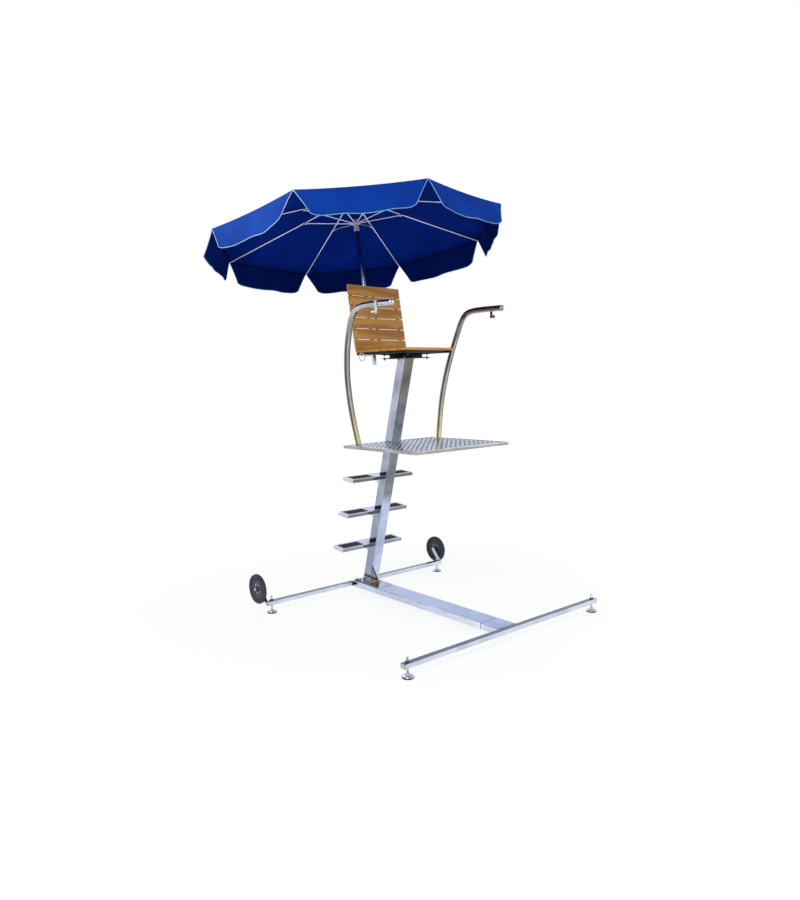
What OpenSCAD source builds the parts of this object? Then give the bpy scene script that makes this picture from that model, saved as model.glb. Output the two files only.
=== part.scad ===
// Tall portable lifeguard chair: I-shaped base on levelling feet with two tip-back
// wheels, leaning mast with three treads, deck with handrails, swivel seat and umbrella.
// Millimetres, +Z up, the chair faces -Y.

/* [Base] */
// Distance between the front and rear levelling feet
base_length = 1815; // [1500:5:2200]
// Distance between the two front feet
front_width = 2010; // [1600:5:2300]
// Distance between the two rear feet
rear_width = 1930; // [1500:5:2200]
// Height of the top of the base bars above the ground
base_height = 108; // [95:1:140]
// Width of the crossbars, front to back
bar_w = 50; // [40:1:60]
// Height of the crossbars
bar_h = 36; // [30:1:45]
// Length of a crossbar past its foot
bar_over = 40; // [30:1:80]
// Width of the long base beam
beam_w = 192; // [150:1:240]
// Height of the long base beam
beam_h = 50; // [40:1:60]
// Distance of the beam splice behind the front feet
splice_back = 205; // [120:5:400]
// Gap shown at each splice
splice_gap = 5; // [2:0.5:10]
// Corner radius of the base tubes
tube_r = 5; // [2:0.5:8]

/* [Levelling feet] */
// Diameter of a foot disc
foot_d = 80; // [60:1:100]
// Thickness of the rubber under a foot
pad_t = 8; // [4:1:12]
// Diameter of the threaded stud
stud_d = 16; // [12:1:20]
// Height of the stud top above the ground
stud_top = 149; // [142:1:165]
// Width across flats of the foot nut
nut_af = 26; // [22:1:32]
// Thickness of the foot nut
nut_t = 13; // [8:1:16]
// Running clearance round studs and axles
fit_gap = 0.08; // [0.04:0.01:0.1]

/* [Wheels] */
// Tyre diameter
wheel_d = 254; // [200:1:300]
// Tyre width
tyre_w = 43; // [36:1:60]
// Rim diameter, where the tyre sits
rim_d = 178; // [150:1:190]
// Axle bolt diameter
axle_d = 16; // [12:1:20]
// Height of the wheel centres above the ground
wheel_z = 203; // [160:1:240]
// Distance of the wheel centres behind the rear feet
wheel_back = 96; // [80:1:140]
// Thickness of a wheel arm plate
arm_t = 8; // [6:0.5:10]
// Width of a wheel arm plate
arm_w = 40; // [30:1:46]
// Diameter of the dish in a rim
dish_d = 108; // [80:1:130]
// Number of ribs in the dish
spokes = 5; // [3:1:8]

/* [Mast] */
// Width of the mast, left to right
mast_w = 100; // [80:1:120]
// Depth of the mast, square to its slope
mast_d = 98; // [80:1:120]
// Forward lean of the mast in degrees
mast_lean = 15.87; // [10:0.01:20]
// Distance of the mast centre line in front of the rear feet, at ground level
mast_fwd = 107; // [90:1:160]
// Height of the mast top
mast_top = 2130; // [1950:5:2300]
// Corner radius of the mast
mast_r = 7; // [3:0.5:12]
// Thickness of the mast foot plate
plate_t = 10; // [6:1:14]
// Width of the mast foot plate
plate_w = 164; // [140:1:180]
// Length of the mast foot plate behind the mast
plate_back = 92; // [80:1:130]
// Length of the mast foot plate in front of the mast
plate_front = 158; // [100:1:180]

/* [Treads] */
// Height of the lowest tread
tread_z1 = 478; // [400:1:520]
// Rise from one tread to the next
tread_rise = 317; // [280:1:330]
// Width of a tread, left to right
tread_w = 670; // [500:5:760]
// Depth of a tread, front to back
tread_d = 152; // [120:1:190]
// Height of a tread tray
tread_h = 28; // [22:1:40]
// Lap of a tread over the mast's rear face
tread_lap = 7; // [4:1:12]
// Rise of a tread from front to rear in degrees
tread_tilt = 5; // [0:0.5:8]
// Rim left round the grip pads
tread_rim = 22; // [10:1:25]
// Distance of the grip pads from the side of the mast
pad_in = 42; // [12:1:80]
// Height of the gussets under a tread
tread_gusset = 42; // [30:1:60]
// Thickness of the gussets under a tread
gusset_t = 7; // [5:1:10]

/* [Deck] */
// Height of the deck top
deck_z = 1429; // [1300:1:1500]
// Width of the deck, left to right
deck_w = 1000; // [800:5:1150]
// Length of the deck, front to back
deck_l = 906; // [760:2:1100]
// Distance of the deck's rear edge behind the centre line of the mast
deck_behind = 35.8; // [30:0.1:48]
// Height of the deck rim
deck_rim_h = 26; // [20:1:40]
// Width of the deck rim
deck_rim_w = 24; // [18:1:32]
// Thickness of the deck plate
deck_t = 5; // [3:0.5:8]
// Height of the tubes that carry the deck
arm_h = 50; // [40:1:60]
// Width of the tubes that carry the deck
deck_arm_w = 40; // [30:1:50]
// Distance of their front ends behind the deck's front edge
arm_short = 230; // [60:5:300]

/* [Handrails] */
// Outside diameter of the handrails
rail_d = 48.3; // [38:0.1:52]
// Distance of each rail foot from the side edge of the deck
rail_side_in = 55; // [50:1:90]
// Distance of each rail foot from the rear edge of the deck
rail_rear_in = 140; // [100:1:220]
// Outward bow of the rails from foot to top
rail_bow = 152; // [130:1:200]
// Height of the rail top over the deck
rail_rise = 1093; // [1000:1:1150]
// Distance of the forward end of the rails in front of their feet
rail_reach = 630; // [540:2:720]
// Length of the hook plates
hook_l = 98; // [80:1:120]
// Distance of the hooks from the forward end of the rails
hook_back = 144; // [100:1:200]

/* [Seat] */
// Height of the seat top over the mast top
seat_lift = 78; // [66:1:170]
// Width of seat and backrest
seat_w = 640; // [540:5:680]
// Depth of the seat
seat_d = 545; // [460:5:580]
// Length of the backrest along its slope
back_l = 548; // [450:2:620]
// Recline of the backrest and umbrella pole in degrees
recline = 8.3; // [4:0.1:14]
// Number of slats in the seat
seat_slats = 6; // [4:1:8]
// Number of slats in the backrest
back_slats = 6; // [4:1:8]
// Turn of the seat and umbrella on the swivel in degrees, anticlockwise from above
seat_turn = 9; // [-180:1:180]
// Thickness of the slats
slat_t = 20; // [14:1:26]
// Gap between slats
slat_gap = 7; // [4:1:12]
// Side of the seat frame tubes
frame_tube = 20; // [16:1:30]
// Side of the swivel plates
swivel_side = 290; // [220:1:300]
// Diameter of the turntable between the swivel plates
swivel_d = 276; // [150:1:290]
// Thickness of the swivel plates
swivel_t = 6; // [4:0.5:8]
// Radius of the pull ring under the seat, to the middle of its wire
ring_r = 33; // [26:1:40]
// Wire diameter of the pull ring
ring_wire = 8; // [6:0.5:10]

/* [Umbrella] */
// Distance from the middle of the umbrella to a rim corner
shade_r = 1264; // [1000:2:1400]
// Height of the crown over the rim plane
shade_h = 335; // [300:1:450]
// Height of the rim plane over the seat top, at its middle
shade_lift = 1012.3; // [960:0.1:1150]
// Depth of the hanging flaps
flap_h = 208; // [120:2:240]
// Inset of a flap's lower corners from each end
flap_inset = 102; // [60:2:140]
// Outward flare of the flaps in degrees
flap_flare = 7.9; // [0:0.1:15]
// Turn of the umbrella on its pole in degrees
shade_turn = 1.2; // [0:0.1:22]
// Rise of the umbrella's rear side on its pole in degrees
shade_nod = 0.9; // [-2:0.1:2]
// Drop of the umbrella's right side on its pole in degrees
shade_roll = 1.7; // [-2:0.1:2]
// Pole diameter
pole_d = 34; // [28:1:42]
// Distance of the pole behind the backrest slats
pole_back = 92; // [84:1:120]
// Distance of the runner below the crown
runner_drop = 234; // [200:2:280]
// Rib diameter
rib_d = 12; // [9:0.5:16]
// Strut diameter
strut_d = 9; // [7:0.5:12]
// Distance of the knuckles from the middle of the umbrella
knuckle_r = 461; // [380:1:600]
// Cloth thickness of the plain panels
cloth_t = 3; // [2:0.5:5]

/* [Hidden] */
$fn = 48;
half_l = base_length / 2;
front_x = front_width / 2;
rear_x = rear_width / 2;
bar_z0 = base_height - bar_h;
beam_z0 = base_height - beam_h;
front_end = front_x + bar_over;
rear_end = rear_x + bar_over + 2;
beam_rear = half_l + bar_w / 2;
splice_y = -half_l + splice_back;
stud_r = stud_d / 2;
hole_r = stud_r + fit_gap;
wheel_y = half_l + wheel_back;
arm_x = rear_end;
wheel_gap = 5;
wheel_x = arm_x + arm_t + wheel_gap + tyre_w / 2;
axle_r = axle_d / 2;
axle_end = 10;
tan_l = tan(mast_lean);
cos_l = cos(mast_lean);
mast_y0 = half_l - mast_fwd;
mast_foot = base_height + plate_t;
mast_cut = mast_d / 2 / cos_l;
seat_y = mast_y0 - tan_l * mast_top;
swivel_gap = 0.5;
seam = 0.2;
seat_z = mast_top + seat_lift;
slat_z0 = seat_z - slat_t;
frame_z0 = slat_z0 - frame_tube;
top_plate_z = frame_z0 - swivel_t;
bearing_h = top_plate_z - swivel_gap - mast_top - swivel_t;
back_y = seat_y + seat_d / 2 - 6;
pole_y = back_y + slat_t / 2 + pole_back;
pole_len_up = shade_lift / cos(recline);
crown_at = pole_len_up + shade_h;
deck_rear = mast_y0 - tan_l * deck_z + deck_behind;
deck_y0 = deck_rear - deck_l;
rail_foot_x = deck_w / 2 - rail_side_in;
rail_foot_y = deck_rear - rail_rear_in;
rail_end_y = rail_foot_y - rail_reach;
arm_z0 = deck_z - 2 - deck_t - arm_h;
rail_r = rail_d / 2;
rail_top = deck_z + rail_rise;
rib_a = 22.5 + shade_turn;
slope = atan(shade_h / shade_r);
steel = [0.78, 0.79, 0.83];
dark_steel = [0.35, 0.36, 0.38];
black = [0.06, 0.06, 0.07];
teak = [0.65, 0.45, 0.24];
blue = [0.08, 0.28, 0.75];
function rot_x(a, p) = [p[0], p[1] * cos(a) - p[2] * sin(a), p[1] * sin(a) + p[2] * cos(a)];
function rot_y(a, p) = [p[0] * cos(a) + p[2] * sin(a), p[1], p[2] * cos(a) - p[0] * sin(a)];
function rot_z(a, p) = [p[0] * cos(a) - p[1] * sin(a), p[0] * sin(a) + p[1] * cos(a), p[2]];
// Point of the umbrella, given from its crown, in the frame of its pole
function tipped(p) = rot_x(shade_nod, rot_y(shade_roll, rot_z(shade_turn, p)));
function in_plan(p) = let (q = tipped(p), v = rot_x(-recline, [q[0], q[1], q[2] + crown_at]))
  rot_z(seat_turn, [v[0], v[1] + pole_y - seat_y, 0]) + [0, seat_y, 0];
// Rim corners, flap corners and the ends of the base, seen from above
mid_flap = shade_r * cos(22.5);
rim_xy = [for (k = [0:7]) in_plan(rot_z(22.5 + 45 * k, [shade_r, 0, -shade_h]))];
flap_xy = [for (k = [0:7], m = [-1, 1]) in_plan(rot_z(45 * k,
  [mid_flap + flap_h * sin(flap_flare), m * (shade_r * sin(22.5) - 2 - flap_inset),
    -shade_h - cloth_t - flap_h * cos(flap_flare)]))];
base_side = arm_x + arm_t + wheel_gap + tyre_w + axle_end;
all_x = concat([for (p = concat(rim_xy, flap_xy)) p[0]], [-base_side, base_side]);
all_y = concat([for (p = concat(rim_xy, flap_xy)) p[1]], [-half_l - foot_d / 2 - 1, wheel_y + wheel_d / 2]);
mid_x = -(min(all_x) + max(all_x)) / 2;
mid_y = -(min(all_y) + max(all_y)) / 2;

function mast_y(z) = mast_y0 - tan_l * z;

// Rectangle with rounded corners, drawn from its centre
module rrect(w, h, r) {
  square([w - 2 * r, h], center = true);
  square([w, h - 2 * r], center = true);
  for (x = [-1, 1], y = [-1, 1])
    translate([x * (w / 2 - r), y * (h / 2 - r)]) circle(r);
}

// Tube along X between two ends
module bar_x(x0, x1, y, z0, w, h, r) {
  translate([x0, y, z0 + h / 2]) rotate([90, 0, 90])
    linear_extrude(x1 - x0) rrect(w, h, r);
}

// Tube along Y between two ends
module bar_y(y0, y1, x, z0, w, h, r) {
  translate([x, y1, z0 + h / 2]) rotate([90, 0, 0])
    linear_extrude(y1 - y0) rrect(w, h, r);
}

module box(x0, x1, y0, y1, z0, z1) {
  translate([x0, y0, z0]) cube([x1 - x0, y1 - y0, z1 - z0]);
}

// Everything is drawn about the middle of the feet, then set over the centre of the box
module place() {
  translate([mid_x, mid_y, 0]) children();
}

// What turns with the seat
module on_seat() place() translate([0, seat_y, 0]) rotate([0, 0, seat_turn])
  translate([0, -seat_y, 0]) children();

module foot_holes(x, y) {
  for (s = [-1, 1]) translate([s * x, y, 0]) cylinder(r = hole_r, h = 300);
}

module front_crossbar() color(steel) place() {
  difference() {
    bar_x(-front_end, front_end, -half_l, bar_z0, bar_w, bar_h, tube_r);
    foot_holes(front_x, -half_l);
  }
  bar_y(-half_l + bar_w / 2 + seam, splice_y, 0, beam_z0, beam_w, beam_h, tube_r);
}

module base_beam() color(steel) place()
  bar_y(splice_y + splice_gap, beam_rear, 0, beam_z0, beam_w, beam_h, tube_r);

module splice_sleeves() color(dark_steel) place() {
  box(-beam_w / 2 + 7, beam_w / 2 - 7, splice_y, splice_y + splice_gap,
    beam_z0 + 6, base_height - 4);
  for (s = [-1, 1]) translate([s * (beam_w / 2 + splice_gap / 2), half_l, bar_z0 + bar_h / 2])
    cube([splice_gap, bar_w - 8, bar_h - 8], center = true);
}

module rear_bar(s) color(steel) place() difference() {
  if (s > 0) bar_x(beam_w / 2 + splice_gap, rear_end, half_l, bar_z0, bar_w, bar_h, tube_r);
  else bar_x(-rear_end, -beam_w / 2 - splice_gap, half_l, bar_z0, bar_w, bar_h, tube_r);
  foot_holes(rear_x, half_l);
}

module rear_bar_left() rear_bar(-1);
module rear_bar_right() rear_bar(1);

plate_y0 = mast_y(mast_foot) - mast_cut - plate_front;
plate_l = plate_front + 2 * mast_cut + plate_back;

module mast_foot_plate() color(steel) place()
  translate([0, plate_y0 + plate_l / 2, base_height]) linear_extrude(plate_t)
    rrect(plate_w, plate_l, 6);

module mast_foot_bolts() color(steel) place()
  for (s = [-1, 1], y = [plate_y0 + plate_l - 24, plate_y0 + plate_l - 66])
    translate([s * (plate_w / 2 - 20), y, mast_foot]) {
      cylinder(r = 12, h = 2.5);
      translate([0, 0, 2.5]) cylinder(r = 10, h = 9, $fn = 6);
    }

module mast_body(grow, up) intersection() {
  translate([0, mast_y0, 0]) rotate([mast_lean, 0, 0]) translate([0, 0, -200])
    linear_extrude(mast_top + 600) rrect(mast_w + 2 * grow, mast_d + 2 * grow, mast_r);
  box(-200, 200, -600, 1200, mast_foot - up, mast_top + up);
}

module mast() color(steel) place() mast_body(0, 0);

function tread_z(i) = tread_z1 + i * tread_rise;
function tread_y0(i) = mast_y(tread_z(i)) + mast_cut - tread_lap;

// Frame of a tread: origin at the middle of its front edge, on its top face
module on_tread(i) translate([0, tread_y0(i), tread_z(i)]) rotate([tread_tilt, 0, 0]) children();

module tread_pockets(shrink, z0, z1) {
  xa = mast_w / 2 + pad_in;
  xb = tread_w / 2 - tread_rim;
  for (s = [-1, 1]) translate([s * (xa + xb) / 2, tread_d / 2, z0]) linear_extrude(z1 - z0)
    rrect(xb - xa - 2 * shrink, tread_d - 2 * tread_rim - 2 * shrink, 5);
}

module tread(i) color(steel) place() difference() {
  on_tread(i) difference() {
    union() {
      translate([0, tread_d / 2, -tread_h]) linear_extrude(tread_h) rrect(tread_w, tread_d, 6);
      for (s = [-1, 1]) translate([s * 36 + gusset_t / 2, 0, -tread_h]) rotate([90, 0, -90])
        linear_extrude(gusset_t) polygon([
          [34 - tread_d, 0], [0, 0], [0, -tread_gusset], [-30, -tread_gusset]]);
    }
    tread_pockets(0, -9, 5);
  }
  mast_body(0, 50);
}

module tread_lower() tread(0);
module tread_middle() tread(1);
module tread_upper() tread(2);

module tread_pads() color(black) place()
  for (i = [0:2]) on_tread(i) tread_pockets(0.3, -9, -1);

module deck_rim() color(steel) place() {
  z0 = deck_z - deck_rim_h;
  w = deck_w / 2;
  box(-w, w, deck_y0, deck_y0 + deck_rim_w, z0, deck_z);
  for (s = [-1, 1]) {
    xa = min(s * w, s * (w - deck_rim_w));
    box(xa, xa + deck_rim_w, deck_y0 + deck_rim_w + seam, deck_rear, z0, deck_z);
    rear_l = w - deck_rim_w - mast_w / 2 - seam;
    xb = s > 0 ? mast_w / 2 : -mast_w / 2 - rear_l;
    box(xb, xb + rear_l, deck_rear - deck_rim_w, deck_rear, z0, deck_z);
  }
}

module deck_plate() color(steel) place() difference() {
  box(-deck_w / 2 + deck_rim_w, deck_w / 2 - deck_rim_w, deck_y0 + deck_rim_w,
    deck_rear - deck_rim_w, deck_z - 2 - deck_t, deck_z - 2);
  mast_body(0.3, 50);
}

module deck_bearers() color(steel) place() {
  y1 = deck_rear - deck_rim_w;
  for (s = [-1, 1]) {
    bar_y(deck_y0 + arm_short, y1, s * (mast_w / 2 + deck_arm_w / 2), arm_z0,
      deck_arm_w, arm_h, 3);
    for (y = [deck_y0 + arm_short + 30, deck_y0 + arm_short + 330, y1 - 40]) {
      cross_l = deck_w / 2 - deck_rim_w - mast_w / 2 - deck_arm_w - seam;
      xa = s > 0 ? mast_w / 2 + deck_arm_w + seam : -deck_w / 2 + deck_rim_w;
      bar_x(xa, xa + cross_l, y, arm_z0 + arm_h - 20, 30, 20, 2);
    }
  }
}

// Centre line of the right handrail, foot to forward end
top_x = rail_foot_x + rail_bow;
rail_pts = [
  [rail_foot_x, rail_foot_y, deck_z - 2],
  [rail_foot_x + 0.22 * rail_bow, rail_foot_y + 12, deck_z + 0.16 * rail_rise],
  [rail_foot_x + 0.44 * rail_bow, rail_foot_y + 13, deck_z + 0.33 * rail_rise],
  [rail_foot_x + 0.68 * rail_bow, rail_foot_y - 10, deck_z + 0.52 * rail_rise],
  [rail_foot_x + 0.88 * rail_bow, rail_foot_y - 62, deck_z + 0.71 * rail_rise],
  [rail_foot_x + 0.98 * rail_bow, rail_foot_y - 120, deck_z + 0.855 * rail_rise],
  [top_x, rail_foot_y - 160, deck_z + 0.93 * rail_rise],
  [top_x + 1, rail_foot_y - 212, deck_z + 0.98 * rail_rise],
  [top_x, rail_foot_y - 290, rail_top],
  [top_x - 3, rail_foot_y - 420, rail_top + 3],
  [top_x - 5, rail_end_y + 40, rail_top - 1],
  [top_x - 6, rail_end_y, rail_top - 3]];
rail_n = len(rail_pts);
function cr(a, b, c, d, t) = 0.5 * (2 * b + (c - a) * t + (2 * a - 5 * b + 4 * c - d) * t * t
  + (3 * b - a - 3 * c + d) * t * t * t);
function rail_p(i, t) = cr(rail_pts[max(i - 1, 0)], rail_pts[i], rail_pts[i + 1],
  rail_pts[min(i + 2, rail_n - 1)], t);
function unit(v) = v / norm(v);
rail_line = [for (i = [0:rail_n - 2], k = [0:4]) rail_p(i, k / 5), rail_pts[rail_n - 1]];
rail_m = len(rail_line);
end_dir = unit(rail_line[rail_m - 1] - rail_line[rail_m - 2]);
dome = [for (a = [15:15:75]) [rail_line[rail_m - 1] + end_dir * rail_r * 0.7 * sin(a),
  rail_r * cos(a)]];
rail_rings = concat([for (p = rail_line) [p, rail_r]], dome);
rail_k = len(rail_rings);
rail_side = 24;
function ring_dir(i) = i >= rail_m - 1 ? end_dir
  : i == 0 ? unit(rail_line[1] - rail_line[0]) : unit(rail_line[i + 1] - rail_line[i - 1]);
function rail_ring(i, s) = let (t = i == 0 ? [0, 0, 1] : ring_dir(i), u = unit(cross(t, [1, 0, 0])),
  v = cross(t, u), p = rail_rings[i][0], r = rail_rings[i][1])
  [for (k = [0:rail_side - 1]) let (a = 360 * k / rail_side, q = p + r * (cos(a) * u + sin(a) * v))
    [s * q[0], q[1], q[2]]];

module rail(s) color(steel) place() {
  foot = rail_line[0];
  tip = rail_line[rail_m - 1] + end_dir * rail_r * 0.7;
  pts = concat([for (i = [0:rail_k - 1]) each rail_ring(i, s)],
    [[s * foot[0], foot[1], foot[2]], [s * tip[0], tip[1], tip[2]]]);
  c0 = rail_k * rail_side;
  sides = [for (i = [0:rail_k - 2], k = [0:rail_side - 1])
    let (a = i * rail_side + k, b = i * rail_side + (k + 1) % rail_side)
    [a, b, b + rail_side, a + rail_side]];
  caps = concat([for (k = [0:rail_side - 1]) [c0, (k + 1) % rail_side, k]],
    [for (k = [0:rail_side - 1]) let (o = (rail_k - 1) * rail_side)
      [c0 + 1, o + k, o + (k + 1) % rail_side]]);
  faces = concat(sides, caps);
  polyhedron(pts, s > 0 ? faces : [for (f = faces) [for (j = [len(f) - 1:-1:0]) f[j]]]);
}

module rail_left() rail(-1);
module rail_right() rail(1);

module rail_flanges() color(steel) place()
  for (s = [-1, 1]) translate([s * rail_foot_x, rail_foot_y, deck_z - 2]) difference() {
    cylinder(r = rail_r + 6, h = 6);
    translate([0, 0, -1]) cylinder(r = rail_r + 1.6, h = 8);
  }

module rail_hooks() color(steel) place()
  for (s = [-1, 1]) {
    x = s * (top_x - 4 + rail_r + 2.5);
    translate([x, rail_end_y + hook_back, rail_top + rail_r - hook_l / 2])
      cube([5, 25, hook_l], center = true);
    translate([x, rail_end_y + hook_back, rail_top + rail_r - hook_l + 14]) rotate([0, s * 90, 0]) {
      cylinder(r = 6, h = 26);
      translate([0, 0, 32]) sphere(r = 13);
    }
  }

module foot_nuts() color(steel) place()
  for (s = [-1, 1], f = [[front_x, -half_l], [rear_x, half_l]])
    translate([s * f[0], f[1], base_height]) difference() {
      cylinder(r = nut_af / 2 / cos(30), h = nut_t, $fn = 6);
      translate([0, 0, -1]) cylinder(r = hole_r, h = nut_t + 2);
    }

module foot(x, y) color(steel) place() translate([x, y, 0]) rotate_extrude() polygon([
  [0, pad_t], [foot_d / 2, pad_t], [foot_d / 2, pad_t + 4], [foot_d / 2 - 8, pad_t + 9],
  [18, pad_t + 14], [15, pad_t + 17], [15, pad_t + 26], [stud_r, pad_t + 26],
  [stud_r, stud_top - 2], [stud_r - 2, stud_top], [0, stud_top]]);

module foot_front_left() foot(-front_x, -half_l);
module foot_front_right() foot(front_x, -half_l);
module foot_rear_left() foot(-rear_x, half_l);
module foot_rear_right() foot(rear_x, half_l);

module pad(x, y) color(black) place() translate([x, y, 0]) rotate_extrude() polygon([
  [0, 0], [foot_d / 2 - 2, 0], [foot_d / 2 + 1, 3], [foot_d / 2 + 1, pad_t], [0, pad_t]]);

module pad_front_left() pad(-front_x, -half_l);
module pad_front_right() pad(front_x, -half_l);
module pad_rear_left() pad(-rear_x, half_l);
module pad_rear_right() pad(rear_x, half_l);

arm_bolt_z = bar_z0 + bar_h / 2;
arm_run = wheel_y - half_l;
arm_rise = wheel_z - arm_bolt_z;
arm_len = norm([arm_run, arm_rise]);
arm_tilt = atan2(arm_run, arm_rise);

module wheel_arms() color(steel) place()
  for (s = [-1, 1]) translate([s > 0 ? arm_x : -arm_x - arm_t, half_l, arm_bolt_z])
    rotate([-arm_tilt, 0, 0]) rotate([0, 90, 0]) rotate([0, 0, 180]) linear_extrude(arm_t) {
      circle(arm_w / 2);
      translate([arm_len, 0]) circle(arm_w / 2);
      translate([0, -arm_w / 2]) square([arm_len, arm_w]);
    }

module axle_bolts() color(steel) place()
  for (s = [-1, 1]) {
    translate([s * (arm_x + arm_t), wheel_y, wheel_z]) rotate([0, s * 90, 0]) {
      cylinder(r = 13, h = 3);
      cylinder(r = axle_r, h = wheel_gap + tyre_w + axle_end);
      translate([0, 0, wheel_gap + tyre_w + 2]) cylinder(r = 12, h = 8, $fn = 6);
    }
    translate([s * (arm_x + arm_t), half_l, arm_bolt_z]) rotate([0, s * 90, 0])
      cylinder(r = 10, h = 4, $fn = 6);
  }

module tyre(s) color(black) place() translate([s * wheel_x, wheel_y, wheel_z])
  rotate([0, 90, 0]) rotate_extrude() difference() {
    union() {
      translate([wheel_d / 2 - tyre_w / 2, 0]) circle(tyre_w / 2);
      translate([rim_d / 2, -tyre_w / 2 + 5]) square([wheel_d / 2 - tyre_w / 2 - rim_d / 2, tyre_w - 10]);
    }
    translate([0, -tyre_w]) square([rim_d / 2, 2 * tyre_w]);
  }

module tyre_left() tyre(-1);
module tyre_right() tyre(1);

module rim(s) color([0.16, 0.17, 0.19]) place() translate([s * wheel_x, wheel_y, wheel_z])
  rotate([0, 90, 0]) difference() {
    union() {
      cylinder(r = 21, h = tyre_w - 4, center = true);
      rotate_extrude() {
        translate([12, -5]) square([rim_d / 2 - 12, 10]);
        translate([dish_d / 2, 9 - tyre_w / 2]) square([rim_d / 2 - dish_d / 2, tyre_w - 18]);
        translate([rim_d / 2 - 7, 6 - tyre_w / 2]) square([7, tyre_w - 12]);
      }
      for (a = [0:spokes - 1]) rotate([0, 0, a * 360 / spokes])
        translate([12, -7, -8]) cube([dish_d / 2 - 10, 14, 16]);
    }
    cylinder(r = axle_r + fit_gap, h = 200, center = true);
  }

module rim_left() rim(-1);
module rim_right() rim(1);

swivel_bolt = swivel_side / 2 - 20;

module swivel_base() color(black) place() translate([0, seat_y, mast_top]) {
  linear_extrude(swivel_t) square(swivel_side, center = true);
  translate([0, 0, swivel_t]) cylinder(d = swivel_d, h = bearing_h);
  for (x = [-1, 1], y = [-1, 1]) translate([x * swivel_bolt, y * swivel_bolt, -12]) {
    cylinder(r = 4, h = swivel_t + 18);
    translate([0, 0, 4]) cylinder(r = 7.5, h = 8, $fn = 6);
  }
}

module swivel_top() color(black) on_seat() translate([0, seat_y, top_plate_z]) {
  linear_extrude(swivel_t) square(swivel_side, center = true);
  for (x = [-1, 1], y = [-1, 1])
    translate([x * swivel_bolt, y * swivel_bolt, -6]) cylinder(r = 7.5, h = 6, $fn = 6);
}

upright_x = seat_w / 2 - 38;
upright_t = 12;
upright_drop = seat_z - frame_z0;
mid_drop = (slat_t - seam - (slat_t / 2 + upright_t) * sin(recline)) / cos(recline);

// Frame of the reclined backrest and pole: origin on the seat top, at the slat face
module reclined(y) translate([0, y, seat_z]) rotate([-recline, 0, 0]) children();

module seat_frame() color(black) on_seat() {
  for (s = [-1, 1]) bar_y(seat_y - seat_d / 2 + 14, rail_back, s * upright_x, frame_z0,
    frame_tube, frame_tube, 3);
  for (s = [-1:1]) {
    drop = s == 0 ? mid_drop : upright_drop;
    reclined(back_y) translate([s * upright_x - frame_tube / 2, slat_t / 2, -drop])
      linear_extrude(back_l + drop) square([frame_tube, upright_t]);
  }
  for (y = [-seat_d / 2 + 60, -50, 50, seat_d / 2 - 60])
    bar_x(-upright_x + frame_tube / 2 + seam, upright_x - frame_tube / 2 - seam, seat_y + y,
      frame_z0, frame_tube, frame_tube, 3);
}

rail_back = back_y + slat_t / 2 / cos(recline) - tan(recline) * upright_drop - seam;
seat_pitch = (seat_d + slat_gap) / seat_slats;
back_pitch = (back_l + slat_gap) / back_slats;

module seat_slats() color(teak) on_seat()
  for (i = [0:seat_slats - 1]) translate([0, seat_y - seat_d / 2 + i * seat_pitch, slat_z0])
    translate([-seat_w / 2, 0, 0]) cube([seat_w, seat_pitch - slat_gap, slat_t]);

module back_slats() color(teak) on_seat() reclined(back_y)
  for (i = [0:back_slats - 1]) translate([-seat_w / 2, -slat_t / 2, 4 + i * back_pitch])
    cube([seat_w, slat_t, back_pitch - slat_gap]);

upright_y = slat_t / 2 - (slat_t / 2 + pole_back) * cos(recline);

module pole_socket() color(steel) on_seat() difference() {
  union() {
    reclined(pole_y) {
      translate([0, 0, -116]) cylinder(r = pole_d / 2 + 2, h = 112);
      translate([0, 0, 300]) cylinder(r = pole_d / 2 + 5, h = 60);
      box(-frame_tube / 2 + 1, frame_tube / 2 - 1, upright_y + upright_t + seam, 0, 312, 348);
    }
    bar_y(seat_y + seat_d / 2 - 60 + frame_tube / 2 + seam, pole_y, 0, frame_z0, 36,
      frame_tube, 3);
  }
  reclined(pole_y) translate([0, 0, -110]) cylinder(r = pole_d / 2, h = 600);
}

module umbrella_pole() color(steel) on_seat() reclined(pole_y) {
  translate([0, 0, -110]) cylinder(r = pole_d / 2, h = 110 + crown_at - 60);
}

// Frames at the crown of the umbrella, square to its pole and tipped with the cloth
module at_crown() on_seat() reclined(pole_y) translate([0, 0, crown_at]) children();
module shade() at_crown() rotate([shade_nod, 0, 0]) rotate([0, shade_roll, 0])
  rotate([0, 0, shade_turn]) translate([0, 0, -shade_h]) children();

hub_r = 34;
module umbrella_hubs() color(steel) at_crown() {
  translate([0, 0, -60]) cylinder(r = hub_r, h = 44);
  difference() {
    translate([0, 0, -runner_drop - 70]) union() {
      cylinder(r = pole_d / 2 + 6, h = 102);
      translate([0, 0, 60]) cylinder(r = hub_r, h = 22);
    }
    translate([0, 0, -800]) cylinder(r = pole_d / 2, h = 1200);
  }
}

rib_start = hub_r + rib_d / 2 * sin(slope) + 1.5;
rib_end = shade_r - 8;
rib_drop = (rib_d / 2 + 0.5) / cos(slope) + cloth_t + 0.05;
function shade_height(r) = shade_h * (1 - r / shade_r);
knuckle = [knuckle_r, 0, shade_height(knuckle_r) - rib_drop - 8];
knuckle_ball = 13;

module rod(a, b, d) {
  v = b - a;
  translate(a) rotate([0, acos(v[2] / norm(v)), atan2(v[1], v[0])]) cylinder(d = d, h = norm(v));
}

module umbrella_ribs() color(steel) shade()
  for (k = [0:7]) rotate([0, 0, 22.5 + 45 * k]) {
    rod([rib_start, 0, shade_height(rib_start) - rib_drop],
      [rib_end, 0, shade_height(rib_end) - rib_drop], rib_d);
    translate(knuckle) sphere(r = knuckle_ball);
  }

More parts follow.
